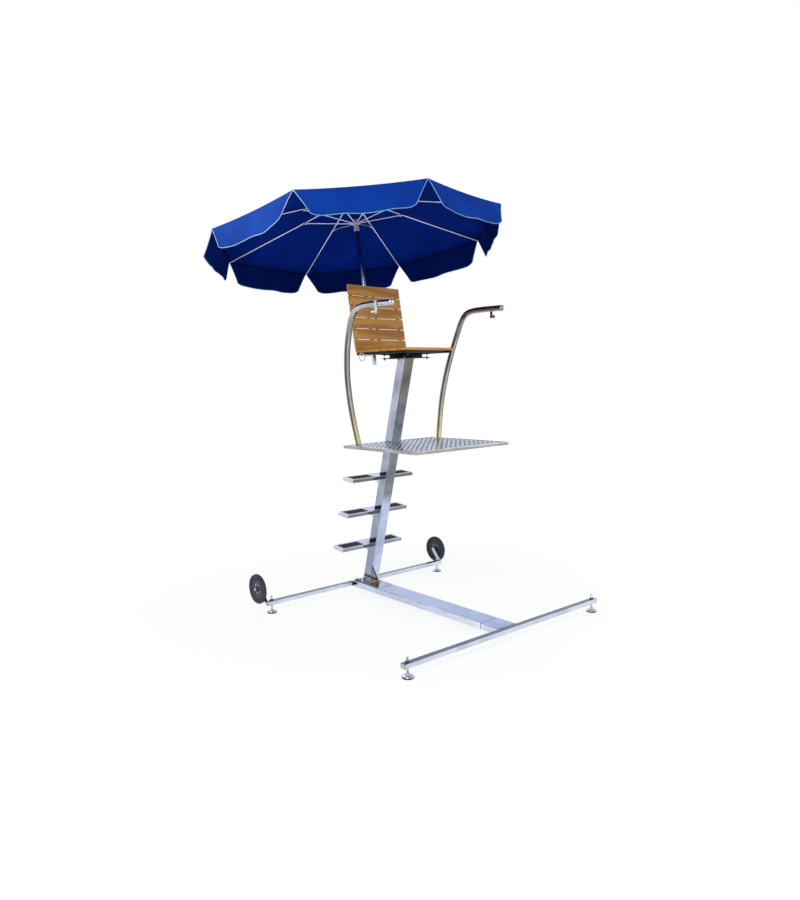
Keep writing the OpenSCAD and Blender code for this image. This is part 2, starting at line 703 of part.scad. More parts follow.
module umbrella_struts() color(steel) at_crown()
  for (k = [0:7]) {
    start = rot_z(22.5 + 45 * k + shade_turn, [hub_r + 1.8, 0, 4 - runner_drop]);
    end = tipped(rot_z(22.5 + 45 * k, knuckle - [0, 0, shade_h]));
    rod(start, end - unit(end - start) * (knuckle_ball + 0.3), strut_d);
  }

// One flat canopy panel between two ribs, as a thin closed solid
module canopy() color(blue) shade() for (k = [0:7]) rotate([0, 0, 45 * k]) {
  r0 = 20;
  g = 0.4;
  c = cos(22.5);
  s = sin(22.5);
  t = cloth_t;
  pts = [for (dz = [0, -t], q = [[r0, 1], [r0, -1], [shade_r, -1], [shade_r, 1]])
    [q[0] * c, q[1] * (q[0] * s - g), shade_height(q[0]) + dz]];
  polyhedron(pts, [[0, 1, 2, 3], [7, 6, 5, 4], [0, 4, 5, 1], [1, 5, 6, 2], [2, 6, 7, 3], [3, 7, 4, 0]]);
}

module valance() color(blue) shade() for (k = [0:7]) rotate([0, 0, 45 * k])
  translate([mid_flap, 0, -cloth_t - 0.05]) rotate([0, -flap_flare, 0])
    translate([-cloth_t, 0, 0]) rotate([90, 0, 90]) linear_extrude(cloth_t) {
      w = shade_r * sin(22.5) - 2;
      polygon([[-w, 0], [w, 0], [w - flap_inset, -flap_h], [-w + flap_inset, -flap_h]]);
    }

module pull_ring() color(steel) on_seat()
  translate([-upright_x - frame_tube / 2 - ring_wire / 2 - 0.1, seat_y + seat_d / 2 - 50,
    slat_z0 - ring_r - ring_wire / 2 - 0.5])
    rotate([0, 90, 0]) rotate_extrude() translate([ring_r, 0]) circle(ring_wire / 2);

front_crossbar();
base_beam();
splice_sleeves();
rear_bar_left();
rear_bar_right();
mast_foot_plate();
mast_foot_bolts();
mast();
tread_lower();
tread_middle();
tread_upper();
tread_pads();
deck_rim();
deck_plate();
deck_bearers();
rail_left();
rail_right();
rail_flanges();
rail_hooks();
foot_nuts();
wheel_arms();
axle_bolts();
swivel_base();
foot_front_left();
foot_front_right();
foot_rear_left();
foot_rear_right();
pad_front_left();
pad_front_right();
pad_rear_left();
pad_rear_right();
tyre_left();
tyre_right();
rim_left();
rim_right();
swivel_top();
seat_frame();
seat_slats();
back_slats();
pole_socket();
umbrella_pole();
umbrella_hubs();
umbrella_ribs();
umbrella_struts();
canopy();
valance();
pull_ring();
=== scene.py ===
"""Finished look of a tall portable lifeguard chair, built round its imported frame.

Each sub-assembly is a class that holds its sizes in metres and builds its meshes.
Surfaces are worked out with numpy on grids of two parameters, or as a profile carried
along a path, and every finish is a node material of its own.
"""

from __future__ import annotations

import logging
import math
from collections.abc import Sequence
from dataclasses import dataclass
from enum import Enum

import bpy
import numpy as np
from mathutils import Matrix, Vector
from numpy.typing import NDArray


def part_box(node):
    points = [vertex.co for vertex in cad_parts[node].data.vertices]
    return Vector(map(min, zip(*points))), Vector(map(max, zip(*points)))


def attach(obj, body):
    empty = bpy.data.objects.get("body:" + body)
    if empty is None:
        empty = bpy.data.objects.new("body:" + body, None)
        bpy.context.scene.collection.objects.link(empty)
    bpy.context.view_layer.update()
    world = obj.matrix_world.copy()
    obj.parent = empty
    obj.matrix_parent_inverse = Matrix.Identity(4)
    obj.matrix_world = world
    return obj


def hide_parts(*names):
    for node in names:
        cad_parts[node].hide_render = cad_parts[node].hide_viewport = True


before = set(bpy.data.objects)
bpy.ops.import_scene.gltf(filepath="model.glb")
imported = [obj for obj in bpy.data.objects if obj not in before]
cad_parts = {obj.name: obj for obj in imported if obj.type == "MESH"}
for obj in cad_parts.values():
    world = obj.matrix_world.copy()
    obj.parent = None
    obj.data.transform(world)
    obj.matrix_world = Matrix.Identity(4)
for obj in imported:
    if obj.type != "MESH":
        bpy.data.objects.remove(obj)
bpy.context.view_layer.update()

Array = NDArray[np.float64]
Index = NDArray[np.int64]
Colour = tuple[float, float, float]
LOG = logging.getLogger("lifeguard_chair")
FEET = ("front_left", "front_right", "rear_left", "rear_right")
TAU = 2 * math.pi


class Side(Enum):
    """A side of the chair as seen from its front, with its sign along X."""

    LEFT = -1
    RIGHT = 1

    def on(self, kind: str) -> str:
        """Name of the node or body of a kind that is on this side."""
        return f"{kind}_{self.name.lower()}"

    def outer(self, box: tuple[Array, Array]) -> float:
        """X of the face of a box on this side."""
        return box[self is Side.RIGHT][0]


# ---------------------------------------------------------------- geometry


def unit(v: Array) -> Array:
    """Gives each vector of an array a length of one."""
    return v / np.linalg.norm(v, axis=-1, keepdims=True)


def turned(degrees: float, axis: str) -> Array:
    """Rotation matrix about the x, y or z axis."""
    return np.array(Matrix.Rotation(math.radians(degrees), 3, axis.upper()))


@dataclass(frozen=True)
class Place:
    """A local frame: an origin and a 3 x 3 matrix whose columns are its axes."""

    origin: Array
    axes: Array

    def put(self, points: Array) -> Array:
        """Takes points from this frame to the row frame."""
        return np.asarray(points, float) @ self.axes.T + self.origin

    def step(self, offset: Sequence[float], turn: Array | None = None) -> Place:
        """A frame set off from this one and turned in it.

        Args:
            offset: Where its origin lies in this frame.
            turn: Its axes in this frame, or None for the same axes.

        Returns:
            The new frame.
        """
        axes = self.axes if turn is None else self.axes @ turn
        return Place(self.put(np.array(offset, float)), axes)


@dataclass
class Shell:
    """Points and faces of one surface. Each array in faces has rows of one length."""

    points: Array
    faces: list[Index]
    finish: int = 0
    uv: Array | None = None
    tone: float = 0.0


def outward(points: Array, faces: list[Index]) -> list[Index]:
    """Turns the faces round if the closed shell that they make holds a negative volume.

    The volume is a sixth of the sum of a . (b x c) over a fan of triangles in each face.
    """
    volume = 0.0
    for rows in faces:
        a = points[rows[:, 0]]
        for i in range(1, rows.shape[1] - 1):
            b, c = points[rows[:, i]], points[rows[:, i + 1]]
            volume += float((a * np.cross(b, c)).sum())
    return [rows[:, ::-1] for rows in faces] if volume < 0 else faces


def loft(rings: Array, closed: bool = False, finish: int = 0, tone: float = 0.0) -> Shell:
    """Joins a row of rings with quads and closes its ends.

    A ring whose points all coincide becomes a pole, where triangles meet.

    Args:
        rings: Points of shape (rings, points in a ring, 3).
        closed: Whether the last ring joins the first, as on a torus.
        finish: Which of the piece's materials it takes.
        tone: A number from 0 to 1 that shifts the pattern of its material.

    Returns:
        The closed shell, facing outwards.
    """
    m, k = rings.shape[:2]
    index = np.arange(m * k).reshape(m, k)
    ahead, beside = np.roll(index, -1, 0), np.roll(index, -1, 1)
    diagonal = np.roll(ahead, -1, 1)
    quads = np.stack([index, beside, diagonal, ahead], -1)
    faces: list[Index] = []
    first, last = 0, m if closed else m - 1
    if not closed:
        spread = np.ptp(rings, axis=1).max(1)
        if spread[0] < 1e-7:
            faces.append(np.stack([np.full(k, index[0, 0]), beside[1], index[1]], -1))
            first = 1
        else:
            faces.append(index[0][None, ::-1])
        if spread[-1] < 1e-7:
            low, side = index[-2], beside[-2]
            faces.append(np.stack([low, side, np.full(k, index[-1, 0])], -1))
            last = m - 2
        else:
            faces.append(index[-1][None])
    faces.append(quads[first:last].reshape(-1, 4))
    points = rings.reshape(-1, 3)
    used = np.unique(np.concatenate([f.ravel() for f in faces]))
    renumber = np.zeros(len(points), np.int64)
    renumber[used] = np.arange(len(used))
    points, faces = points[used], [renumber[f] for f in faces]
    return Shell(points, outward(points, faces), finish, None, tone)


def rounded(width: float, height: float, radius: float, steps: int = 4) -> Array:
    """Outline of a rectangle whose corners are quarter circles, about its centre."""
    a = np.linspace(0, math.pi / 2, steps + 1)
    arc = radius * np.stack([np.cos(a), np.sin(a)], -1)
    x, y = width / 2 - radius, height / 2 - radius
    flip = np.array([[1, 1], [-1, 1], [-1, -1], [1, -1]], float)
    corners = [
        (arc if i % 2 == 0 else arc[::-1]) * f + np.array([x, y]) * f
        for i, f in enumerate(flip)
    ]
    return np.concatenate(corners)


def circle(steps: int, offset: float = 0.0) -> Array:
    """Points evenly round a circle of radius one, the first set on by a share of a step."""
    a = (np.arange(steps) + offset) * TAU / steps
    return np.stack([np.cos(a), np.sin(a)], -1)


def radial(angle: float) -> Array:
    """Level direction at an angle from the x axis."""
    return np.array([math.cos(angle), math.sin(angle), 0])


def tangent(angle: float) -> Array:
    """Level direction a quarter turn on from radial."""
    return np.array([-math.sin(angle), math.cos(angle), 0])


def facing(sign: int) -> Array:
    """Axes of a frame whose z axis points to the right (1) or left (-1) side."""
    return np.array([[0, 0, sign], [sign, 0, 0], [0, 1, 0]], float)


def level_loop(outline: Array, height: float) -> Array:
    """An outline seen from above, set at a height."""
    return np.column_stack([outline, np.full(len(outline), height)])


def polygon(sides: int, width: float) -> Array:
    """Outline of a regular polygon of that many sides and width across flats."""
    return width / 2 / math.cos(math.pi / sides) * circle(sides)


def prism(
    outline: Array,
    place: Place,
    length: float,
    edge: float = 0.0008,
    finish: int = 0,
    tone: float = 0.0,
) -> Shell:
    """Carries an outline along a frame's z axis, with both end edges rounded.

    At a distance s from an end, where s is under the edge radius e, the outline is drawn
    in by e - sqrt(e^2 - (e - s)^2) on every side.

    Args:
        outline: Outline about the frame's origin, in its x and y.
        place: Frame at the first end.
        length: Length along z.
        edge: Radius of the end edges.
        finish: Which of the piece's materials it takes.
        tone: A number from 0 to 1 that shifts the pattern of its material.

    Returns:
        The closed prism.
    """
    a = np.linspace(0, math.pi / 2, 4)
    inset, rise = edge * (1 - np.sin(a)), edge * (1 - np.cos(a))
    z = np.concatenate([rise, (length - rise)[::-1]])
    draw = np.concatenate([inset, inset[::-1]])
    scale = 1 - draw[:, None] / np.abs(outline).max(0)
    flat = outline[None] * scale[:, None]
    depth = np.broadcast_to(z[:, None, None], flat.shape[:2] + (1,))
    return loft(place.put(np.concatenate([flat, depth], -1)), False, finish, tone)


def square_to(axis: Array) -> tuple[Array, Array]:
    """Two directions at right angles to an axis and to each other."""
    other = np.array([0.0, 0, 1]) if abs(axis[2]) < 0.9 else np.array([0.0, 1, 0])
    u = unit(np.cross(axis, other))
    return u, np.cross(axis, u)


def revolve(
    profile: Sequence[Sequence[float]] | Array,
    centre: Array,
    axis: Sequence[float],
    steps: int = 48,
    closed: bool = False,
    finish: int = 0,
) -> Shell:
    """Turns a profile of (radius, height) pairs about an axis.

    Args:
        profile: Radius and height along the axis at each point.
        centre: Point on the axis at height 0.
        axis: Direction of the axis.
        steps: Points round each ring.
        closed: Whether the profile is a loop, as a tyre's is.
        finish: Which of the piece's materials it takes.

    Returns:
        The closed shell.
    """
    pairs = np.asarray(profile, float)
    w = unit(np.array(axis, float))
    u, v = square_to(w)
    c, s = circle(steps).T[..., None]
    ring = c * u + s * v
    rings = centre + pairs[:, 0, None, None] * ring + pairs[:, 1, None, None] * w
    return loft(rings, closed, finish)


def tube(
    path: Array,
    radius: float | Array,
    up: Sequence[float],
    steps: int = 20,
    closed: bool = False,
    finish: int = 0,
) -> Shell:
    """Carries a circle along a path, square to it at each point.

    Args:
        path: Points of the centre line.
        radius: One radius, or one for each point.
        up: A direction that the path never runs along.
        steps: Points round the circle.
        closed: Whether the path is a loop.
        finish: Which of the piece's materials it takes.

    Returns:
        The closed tube.
    """
    if closed:
        along = unit(np.roll(path, -1, 0) - np.roll(path, 1, 0))
    else:
        along = unit(np.gradient(path, axis=0))
    side = unit(np.cross(along, np.array(up, float)))
    rise = np.cross(side, along)
    c, s = circle(steps, 0.5).T[:, None, :, None]
    r = np.broadcast_to(np.asarray(radius, float), (len(path),))[:, None, None]
    return loft(path[:, None] + r * (c * side[:, None] + s * rise[:, None]), closed, finish)


def spline(knots: Array, steps: int) -> Array:
    """Smooth curve through its knots: each span is the cubic whose slope at a knot is half
    the step between the knots on its two sides."""
    before = np.vstack([knots[:1], knots[:-1]])[:-1]
    start, end = knots[:-1], knots[1:]
    after = np.vstack([knots[2:], knots[-1:]])
    t = (np.arange(steps) / steps)[None, :, None]
    a, b, c, d = (q[:, None] for q in (before, start, end, after))
    curve = 0.5 * (
        2 * b
        + (c - a) * t
        + (2 * a - 5 * b + 4 * c - d) * t**2
        + (3 * b - a - 3 * c + d) * t**3
    )
    return np.vstack([curve.reshape(-1, 3), knots[-1:]])


def bead(path: Array, up: Sequence[float], radius: float = 0.0022, closed: bool = True) -> Shell:
    """Weld bead along a path of corners: a thin tube whose radius ripples by a fifth with
    the distance along it."""
    corners = np.vstack([path, path[:1]]) if closed else path
    reach = np.concatenate([[0], np.cumsum(np.linalg.norm(np.diff(corners, axis=0), axis=1))])
    count = max(12, int(reach[-1] / 0.0035))
    s = np.linspace(0, reach[-1], count, endpoint=not closed)
    line = np.stack([np.interp(s, reach, corners[:, i]) for i in range(3)], -1)
    wave = radius * (1 + 0.2 * np.cos(np.arange(count) * math.pi))
    return tube(line, wave, up, 6, closed)


def nut(
    place: Place, size: float, height: float, washer: float = 0.0, head: bool = True
) -> list[Shell]:
    """Hexagon nut or bolt head on a washer, standing along a frame's z axis.

    Args:
        place: Frame on the surface that it is tightened on.
        size: Width across flats.
        height: Height of the hexagon.
        washer: Radius of the washer under it, or 0 for none.
        head: Whether its middle is closed with a shallow dome.

    Returns:
        The shells that make it.
    """
    shells, base = [], 0.0
    axis = place.axes[:, 2]
    if washer:
        base = 0.002
        rim = [(0, 0), (washer, 0), (washer, base * 0.7), (washer - 0.0008, base), (0, base)]
        shells.append(revolve(rim, place.origin, axis, 28))
    shells.append(prism(polygon(6, size), place.step((0, 0, base)), height, 0.0012))
    if head:
        top = [(0, height - 0.001), (size * 0.42, height - 0.001), (size * 0.4, height + 0.0004)]
        crown = top + [(size * 0.2, height + 0.0009), (0, height + 0.001)]
        shells.append(revolve(crown, place.put([0, 0, base]), axis, 24))
    return shells


# ---------------------------------------------------------------- pieces


class Piece:
    """One named object of the finished chair, collected from shells."""

    def __init__(
        self,
        name: str,
        body: str,
        slot: str | None,
        finishes: Sequence[bpy.types.Material],
        stands_for: Sequence[str] = (),
    ) -> None:
        """Starts an empty piece.

        Args:
            name: The object's name.
            body: The body that it rides on.
            slot: The record's material slot for it; stored on the piece but not used.
            finishes: Its materials, in the order of the shells' finish numbers.
            stands_for: The frame nodes that it is shown in place of.
        """
        self.name, self.body, self.slot = name, body, slot
        self.finishes, self.stands_for = list(finishes), list(stands_for)
        self.shells: list[Shell] = []

    def add(self, *shells: Shell) -> Piece:
        """Adds shells to the piece."""
        self.shells.extend(shells)
        return self

    def mesh(self, sharp: float) -> bpy.types.Mesh:
        """Puts the shells into one mesh with arrays.

        Args:
            sharp: Angle in degrees past which an edge isn't shaded smooth.

        Returns:
            The mesh.
        """
        mesh = bpy.data.meshes.new(self.name)
        sizes = [len(s.points) for s in self.shells]
        starts = np.concatenate([[0], np.cumsum(sizes)[:-1]])
        rows = [(s, f + o) for s, o in zip(self.shells, starts) for f in s.faces]
        corners = np.concatenate([f.ravel() for _, f in rows])
        counts = np.concatenate([np.full(len(f), f.shape[1]) for _, f in rows])
        finish = np.concatenate([np.full(len(f), s.finish) for s, f in rows])
        points = np.concatenate([s.points for s in self.shells])
        mesh.vertices.add(len(points))
        mesh.vertices.foreach_set("co", points.astype(np.float32).ravel())
        mesh.loops.add(len(corners))
        mesh.loops.foreach_set("vertex_index", corners.astype(np.int32))
        mesh.polygons.add(len(counts))
        first = np.concatenate([[0], np.cumsum(counts)[:-1]])
        mesh.polygons.foreach_set("loop_start", first.astype(np.int32))
        mesh.polygons.foreach_set("material_index", finish.astype(np.int32))
        mesh.polygons.foreach_set("use_smooth", np.ones(len(counts), bool))
        tone = np.concatenate([np.full(n, s.tone) for s, n in zip(self.shells, sizes)])
        mesh.attributes.new("tone", "FLOAT", "POINT").data.foreach_set(
            "value", tone.astype(np.float32)
        )
        if any(s.uv is not None for s in self.shells):
            spots = np.concatenate(
                [s.uv if s.uv is not None else s.points[:, :2] for s in self.shells]
            )
            layer = mesh.uv_layers.new(name="surface")
            layer.data.foreach_set("uv", spots[corners].astype(np.float32).ravel())
        mesh.update(calc_edges=True)
        mesh.validate()
        mesh.set_sharp_from_angle(angle=math.radians(sharp))
        return mesh

    def build(self, sharp: float = 32) -> bpy.types.Object:
        """Makes the object, dresses it and sets it on its body.

        Args:
            sharp: Angle in degrees past which an edge isn't shaded smooth.

        Returns:
            The object.
        """
        mesh = self.mesh(sharp)
        for finish in self.finishes:
            mesh.materials.append(finish)
        piece = placed(self.name, mesh)
        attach(piece, self.body)
        if self.stands_for:
            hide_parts(*self.stands_for)
        LOG.info("%s: %d faces on %s", self.name, len(mesh.polygons), self.body)
        return piece


def dress(nodes: Sequence[str], finish: bpy.types.Material) -> None:
    """Gives frame nodes that are shown as they are a finish of their own.

    Args:
        nodes: Names of the frame nodes.
        finish: The material.
    """
    for name in nodes:
        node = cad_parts[name]
        if not node.material_slots:
            node.data.materials.append(finish)
        for place in node.material_slots:
            place.material = finish
        LOG.info("%s: frame node dressed in %s", name, finish.name)


def placed(name: str, data: bpy.types.ID) -> bpy.types.Object:
    """Makes an object and puts it in the scene."""
    made = bpy.data.objects.new(name, data)
    bpy.context.scene.collection.objects.link(made)
    return made


def corners_of(node: str) -> tuple[Array, Array]:
    """Lowest and highest corner of a frame node."""
    low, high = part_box(node)
    return np.array(low), np.array(high)


# ---------------------------------------------------------------- finishes


@dataclass(frozen=True)
class Zone:
    """A colour that takes over where all its conditions hold.

    Each condition is (axis, start, full): its share rises from 0 at the first value to 1 at
    the second.
    """

    colour: Colour
    when: tuple[tuple[str, float, float], ...]


class Graph:
    """A node tree while it is being built."""

    def __init__(self, tree: bpy.types.NodeTree) -> None:
        """Starts on a tree."""
        self.tree = tree

    def node(self, kind: str, inputs: dict | None = None, **settings: object) -> bpy.types.Node:
        """Adds a node.

        Args:
            kind: The node's type.
            inputs: Socket values or output sockets, by socket name or number.
            settings: Properties of the node itself.

        Returns:
            The node.
        """
        made = self.tree.nodes.new(kind)
        for key, value in settings.items():
            setattr(made, key, value)
        for key, value in (inputs or {}).items():
            if isinstance(value, bpy.types.NodeSocket):
                self.tree.links.new(value, made.inputs[key])
            else:
                made.inputs[key].default_value = value
        return made

    def ramp(
        self, fac: bpy.types.NodeSocket, stops: Sequence[tuple[float, Colour]]
    ) -> bpy.types.NodeSocket:
        """Colours a value by stops of (place, colour)."""
        made = self.node("ShaderNodeValToRGB", {"Fac": fac})
        band = made.color_ramp
        while len(band.elements) < len(stops):
            band.elements.new(0.5)
        for element, (spot, colour) in zip(band.elements, stops):
            element.position = spot
            element.color = (*colour, 1)
        return made.outputs["Color"]

    def mix(
        self,
        a: bpy.types.NodeSocket | Colour,
        b: bpy.types.NodeSocket | Colour,
        fac: bpy.types.NodeSocket | float,
        blend: str = "MIX",
    ) -> bpy.types.NodeSocket:
        """Blends two colours."""
        made = self.node("ShaderNodeMix", data_type="RGBA", blend_type=blend)
        for socket, value in zip((made.inputs[0], made.inputs[6], made.inputs[7]), (fac, a, b)):
            if isinstance(value, bpy.types.NodeSocket):
                self.tree.links.new(value, socket)
            elif isinstance(value, tuple):
                socket.default_value = (*value, 1)
            else:
                socket.default_value = value
        return made.outputs[2]

    def math(
        self,
        kind: str,
        a: bpy.types.NodeSocket | float,
        b: bpy.types.NodeSocket | float = 0.0,
    ) -> bpy.types.NodeSocket:
        """One arithmetic step on two values."""
        return self.node("ShaderNodeMath", {0: a, 1: b}, operation=kind).outputs[0]

    def backdrop(self) -> bpy.types.NodeSocket:
        """Share of a ray that sees the backdrop: camera, glossy and transmitted rays."""
        rays = self.node("ShaderNodeLightPath").outputs
        total = rays["Is Camera Ray"]
        for name in ("Is Glossy Ray", "Is Transmission Ray"):
            total = self.math("MAXIMUM", total, rays[name])
        return total


class Weave(Graph):
    """A material's node tree, with its shader."""

    def __init__(self, name: str) -> None:
        """Starts a material with a plain shader."""
        self.material = bpy.data.materials.new(name)
        self.material.use_nodes = True
        super().__init__(self.material.node_tree)
        self.shader = self.tree.nodes["Principled BSDF"]

    def where(
        self,
        stretch: Sequence[float] = (1, 1, 1),
        turn: Sequence[float] = (0, 0, 0),
        source: str = "Object",
    ) -> bpy.types.NodeSocket:
        """Coordinates on the piece, turned first and then stretched.

        Args:
            stretch: Scale along each axis.
            turn: Rotation in degrees.
            source: Object or UV.

        Returns:
            The vector socket.
        """
        coords = self.node("ShaderNodeTexCoord").outputs[source]
        spin = [math.radians(x) for x in turn]
        level = self.node("ShaderNodeMapping", {"Vector": coords, "Rotation": spin})
        scaled = self.node(
            "ShaderNodeMapping", {"Vector": level.outputs[0], "Scale": list(stretch)}
        )
        return scaled.outputs[0]

    def noise(
        self, vector: bpy.types.NodeSocket, scale: float, detail: float = 3, rough: float = 0.55
    ) -> bpy.types.NodeSocket:
        """Cloudy values from 0 to 1."""
        made = self.node(
            "ShaderNodeTexNoise",
            {"Vector": vector, "Scale": scale, "Detail": detail, "Roughness": rough},
        )
        return made.outputs["Fac"]

    def remap(
        self, value: bpy.types.NodeSocket, low: float, high: float, to: tuple[float, float]
    ) -> bpy.types.NodeSocket:
        """Maps values between low and high onto a new range, and holds them there."""
        made = self.node(
            "ShaderNodeMapRange",
            {
                "Value": value,
                "From Min": low,
                "From Max": high,
                "To Min": to[0],
                "To Max": to[1],
            },
        )
        return made.outputs["Result"]

    def bump(
        self, height: bpy.types.NodeSocket, strength: float, depth: float
    ) -> bpy.types.NodeSocket:
        """Normal that leans with a height."""
        made = self.node(
            "ShaderNodeBump", {"Height": height, "Strength": strength, "Distance": depth}
        )
        return made.outputs["Normal"]

    def axis(self, name: str) -> bpy.types.NodeSocket:
        """One number to go by: nx, ny or nz of the surface's direction, x, y or z of the
        place on the piece in metres, xy for x less y, zx for z and 1.6 times x, u of its own
        map, or r, the distance from that map's middle."""
        if name in ("xy", "zx"):
            place = self.node("ShaderNodeSeparateXYZ", {0: self.where()}).outputs
            if name == "xy":
                return self.math("SUBTRACT", place["X"], place["Y"])
            return self.math("ADD", self.math("MULTIPLY", place["X"], 1.6), place["Z"])
        if name == "r":
            cloth = self.where(source="UV")
            return self.node(
                "ShaderNodeVectorMath", {0: cloth}, operation="LENGTH"
            ).outputs["Value"]
        if name == "u":
            source, name = self.where(source="UV"), "x"
        elif name[0] == "n":
            source = self.node("ShaderNodeNewGeometry").outputs["Normal"]
        else:
            source = self.where()
        return self.node("ShaderNodeSeparateXYZ", {0: source}).outputs[name[-1].upper()]

    def zoned(self, colour: Colour, zones: Sequence[Zone]) -> bpy.types.NodeSocket | Colour:
        """Lays the zones' colours over a first one, in order."""
        tint: bpy.types.NodeSocket | Colour = colour
        for zone in zones:
            share: bpy.types.NodeSocket | float = 1.0
            for name, low, high in zone.when:
                share = self.math("MULTIPLY", self.remap(self.axis(name), low, high, (0, 1)), share)
            tint = self.mix(tint, zone.colour, share)
        return tint

    def shaded(
        self,
        colour: bpy.types.NodeSocket,
        value: bpy.types.NodeSocket,
        grey: tuple[float, float],
        share: float = 1.0,
        span: tuple[float, float] = (0.32, 0.66),
    ) -> bpy.types.NodeSocket:
        """Multiplies a colour by a grey that follows a value.

        Args:
            colour: The colour to shade.
            value: What the grey follows.
            grey: Its strength at the start and the end of the span.
            share: How much of the shading is laid on.
            span: Values between which the grey changes.

        Returns:
            The shaded colour.
        """
        tones = self.ramp(value, [(spot, (tone,) * 3) for spot, tone in zip(span, grey)])
        return self.mix(colour, tones, share, "MULTIPLY")

    def finish(
        self,
        links: dict[str, bpy.types.NodeSocket],
        values: dict[str, float | Sequence[float]] | None = None,
    ) -> bpy.types.Material:
        """Joins the nodes to the shader.

        Args:
            links: Output sockets by the shader's input names.
            values: Constants by the shader's input names.

        Returns:
            The material.
        """
        for name, socket in links.items():
            self.tree.links.new(socket, self.shader.inputs[name])
        for name, value in (values or {}).items():
            self.shader.inputs[name].default_value = value
        return self.material


@dataclass(frozen=True)
class Steel:
    """Polished stainless steel: a cloudy colour, zones laid over it by face direction, height
    and place, most of them painted reflections, highlights and shade, and fine polishing lines
    along one way."""

    name: str
    colour: Colour = (0.62, 0.65, 0.78)
    zones: tuple[Zone, ...] = ()
    rough: tuple[float, float] = (0.08, 0.2)
    cloud: float = 0.16
    scratch: float = 0.12
    grain: tuple[float, float, float] = (1.0, 1.0, 1.0)
    turn: tuple[float, float, float] = (0.0, 0.0, 0.0)

    def make(self) -> bpy.types.Material:
        """Builds the material: clouds shade it, stretched noise scratches it."""
        w = Weave(self.name)
        place = w.where(self.grain, self.turn)
        cloud = w.noise(w.where((1, 1, 1), self.turn), 5.5, 4)
        lines = w.noise(place, 160, 3, 0.6)
        tint = w.zoned(self.colour, self.zones)
        tint = w.shaded(tint, cloud, (1 - self.cloud, 1 + self.cloud / 2))
        tint = w.shaded(tint, lines, (1 - self.scratch, 1.0))
        gloss = w.remap(w.noise(place, 24, 4), 0.3, 0.7, self.rough)
        return w.finish(
            {"Base Color": tint, "Roughness": gloss, "Normal": w.bump(lines, 0.08, 0.0003)},
            {"Metallic": 1.0},
        )


@dataclass(frozen=True)
class Paint:
    """Painted, moulded or rubber surface with a speckled colour and a fine rough skin."""

    name: str
    dark: Colour
    light: Colour
    rough: tuple[float, float]
    speck: float = 180.0
    depth: float = 0.0004
    metal: float = 0.0
    shine: float = 0.5

    def make(self) -> bpy.types.Material:
        """Builds the material from a broad and a fine noise."""
        w = Weave(self.name)
        place = w.where()
        broad, fine = w.noise(place, 9, 4), w.noise(place, self.speck, 4, 0.6)
        tint = w.ramp(broad, [(0.3, self.dark), (0.7, self.light)])
        tint = w.shaded(tint, fine, (0.7, 1.0), 0.6, (0.3, 0.65))
        return w.finish(
            {
                "Base Color": tint,
                "Roughness": w.remap(fine, 0.3, 0.7, self.rough),
                "Normal": w.bump(fine, 0.25, self.depth),
            },
            {"Metallic": self.metal, "Specular IOR Level": self.shine},
        )


@dataclass(frozen=True)
class Teak:
    """Oiled teak: rings cut lengthways, pores and a tone that changes from board to board."""

    name: str = "teak_oiled"
    turn: float = -9.0
    tones: tuple[Colour, ...] = (
        (0.4, 0.17, 0.036),
        (0.56, 0.26, 0.055),
        (0.66, 0.32, 0.072),
        (0.74, 0.39, 0.1),
    )

    def make(self) -> bpy.types.Material:
        """Builds the material. Each board's tone number slides the pattern along it."""
        w = Weave(self.name)
        tone = w.node("ShaderNodeAttribute", attribute_name="tone").outputs["Fac"]
        shift = w.node("ShaderNodeCombineXYZ", {0: w.math("MULTIPLY", tone, 7.0), 1: 0.0})
        place = w.where((0.9, 9.0, 9.0), (0, 0, self.turn))
        slid = w.node("ShaderNodeVectorMath", {0: place, 1: shift.outputs[0]}, operation="ADD")
        bend = w.noise(slid.outputs[0], 2.2, 3)
        rings = w.node(
            "ShaderNodeTexWave",
            {"Vector": slid.outputs[0], "Scale": 1.6, "Distortion": 7.0, "Detail": 3.0},
            bands_direction="Y",
        ).outputs["Fac"]
        fine = w.where((3.0, 160.0, 160.0), (0, 0, self.turn))
        pores = w.noise(fine, 2.5, 4, 0.7)
        colour = w.ramp(
            w.math("ADD", w.math("MULTIPLY", rings, 0.55), w.math("MULTIPLY", bend, 0.5)),
            list(zip((0.12, 0.4, 0.62, 0.92), self.tones)),
        )
        shade = w.ramp(tone, [(0.0, (0.88, 0.86, 0.84)), (1.0, (1.08, 1.07, 1.04))])
        colour = w.mix(colour, shade, 1.0, "MULTIPLY")
        colour = w.shaded(colour, pores, (0.55, 1.0), 0.5, (0.36, 0.5))
        return w.finish(
            {
                "Base Color": colour,
                "Roughness": w.remap(pores, 0.3, 0.7, (0.62, 0.46)),
                "Normal": w.bump(pores, 0.3, 0.0006),
            },
            {"Specular IOR Level": 0.2},
        )


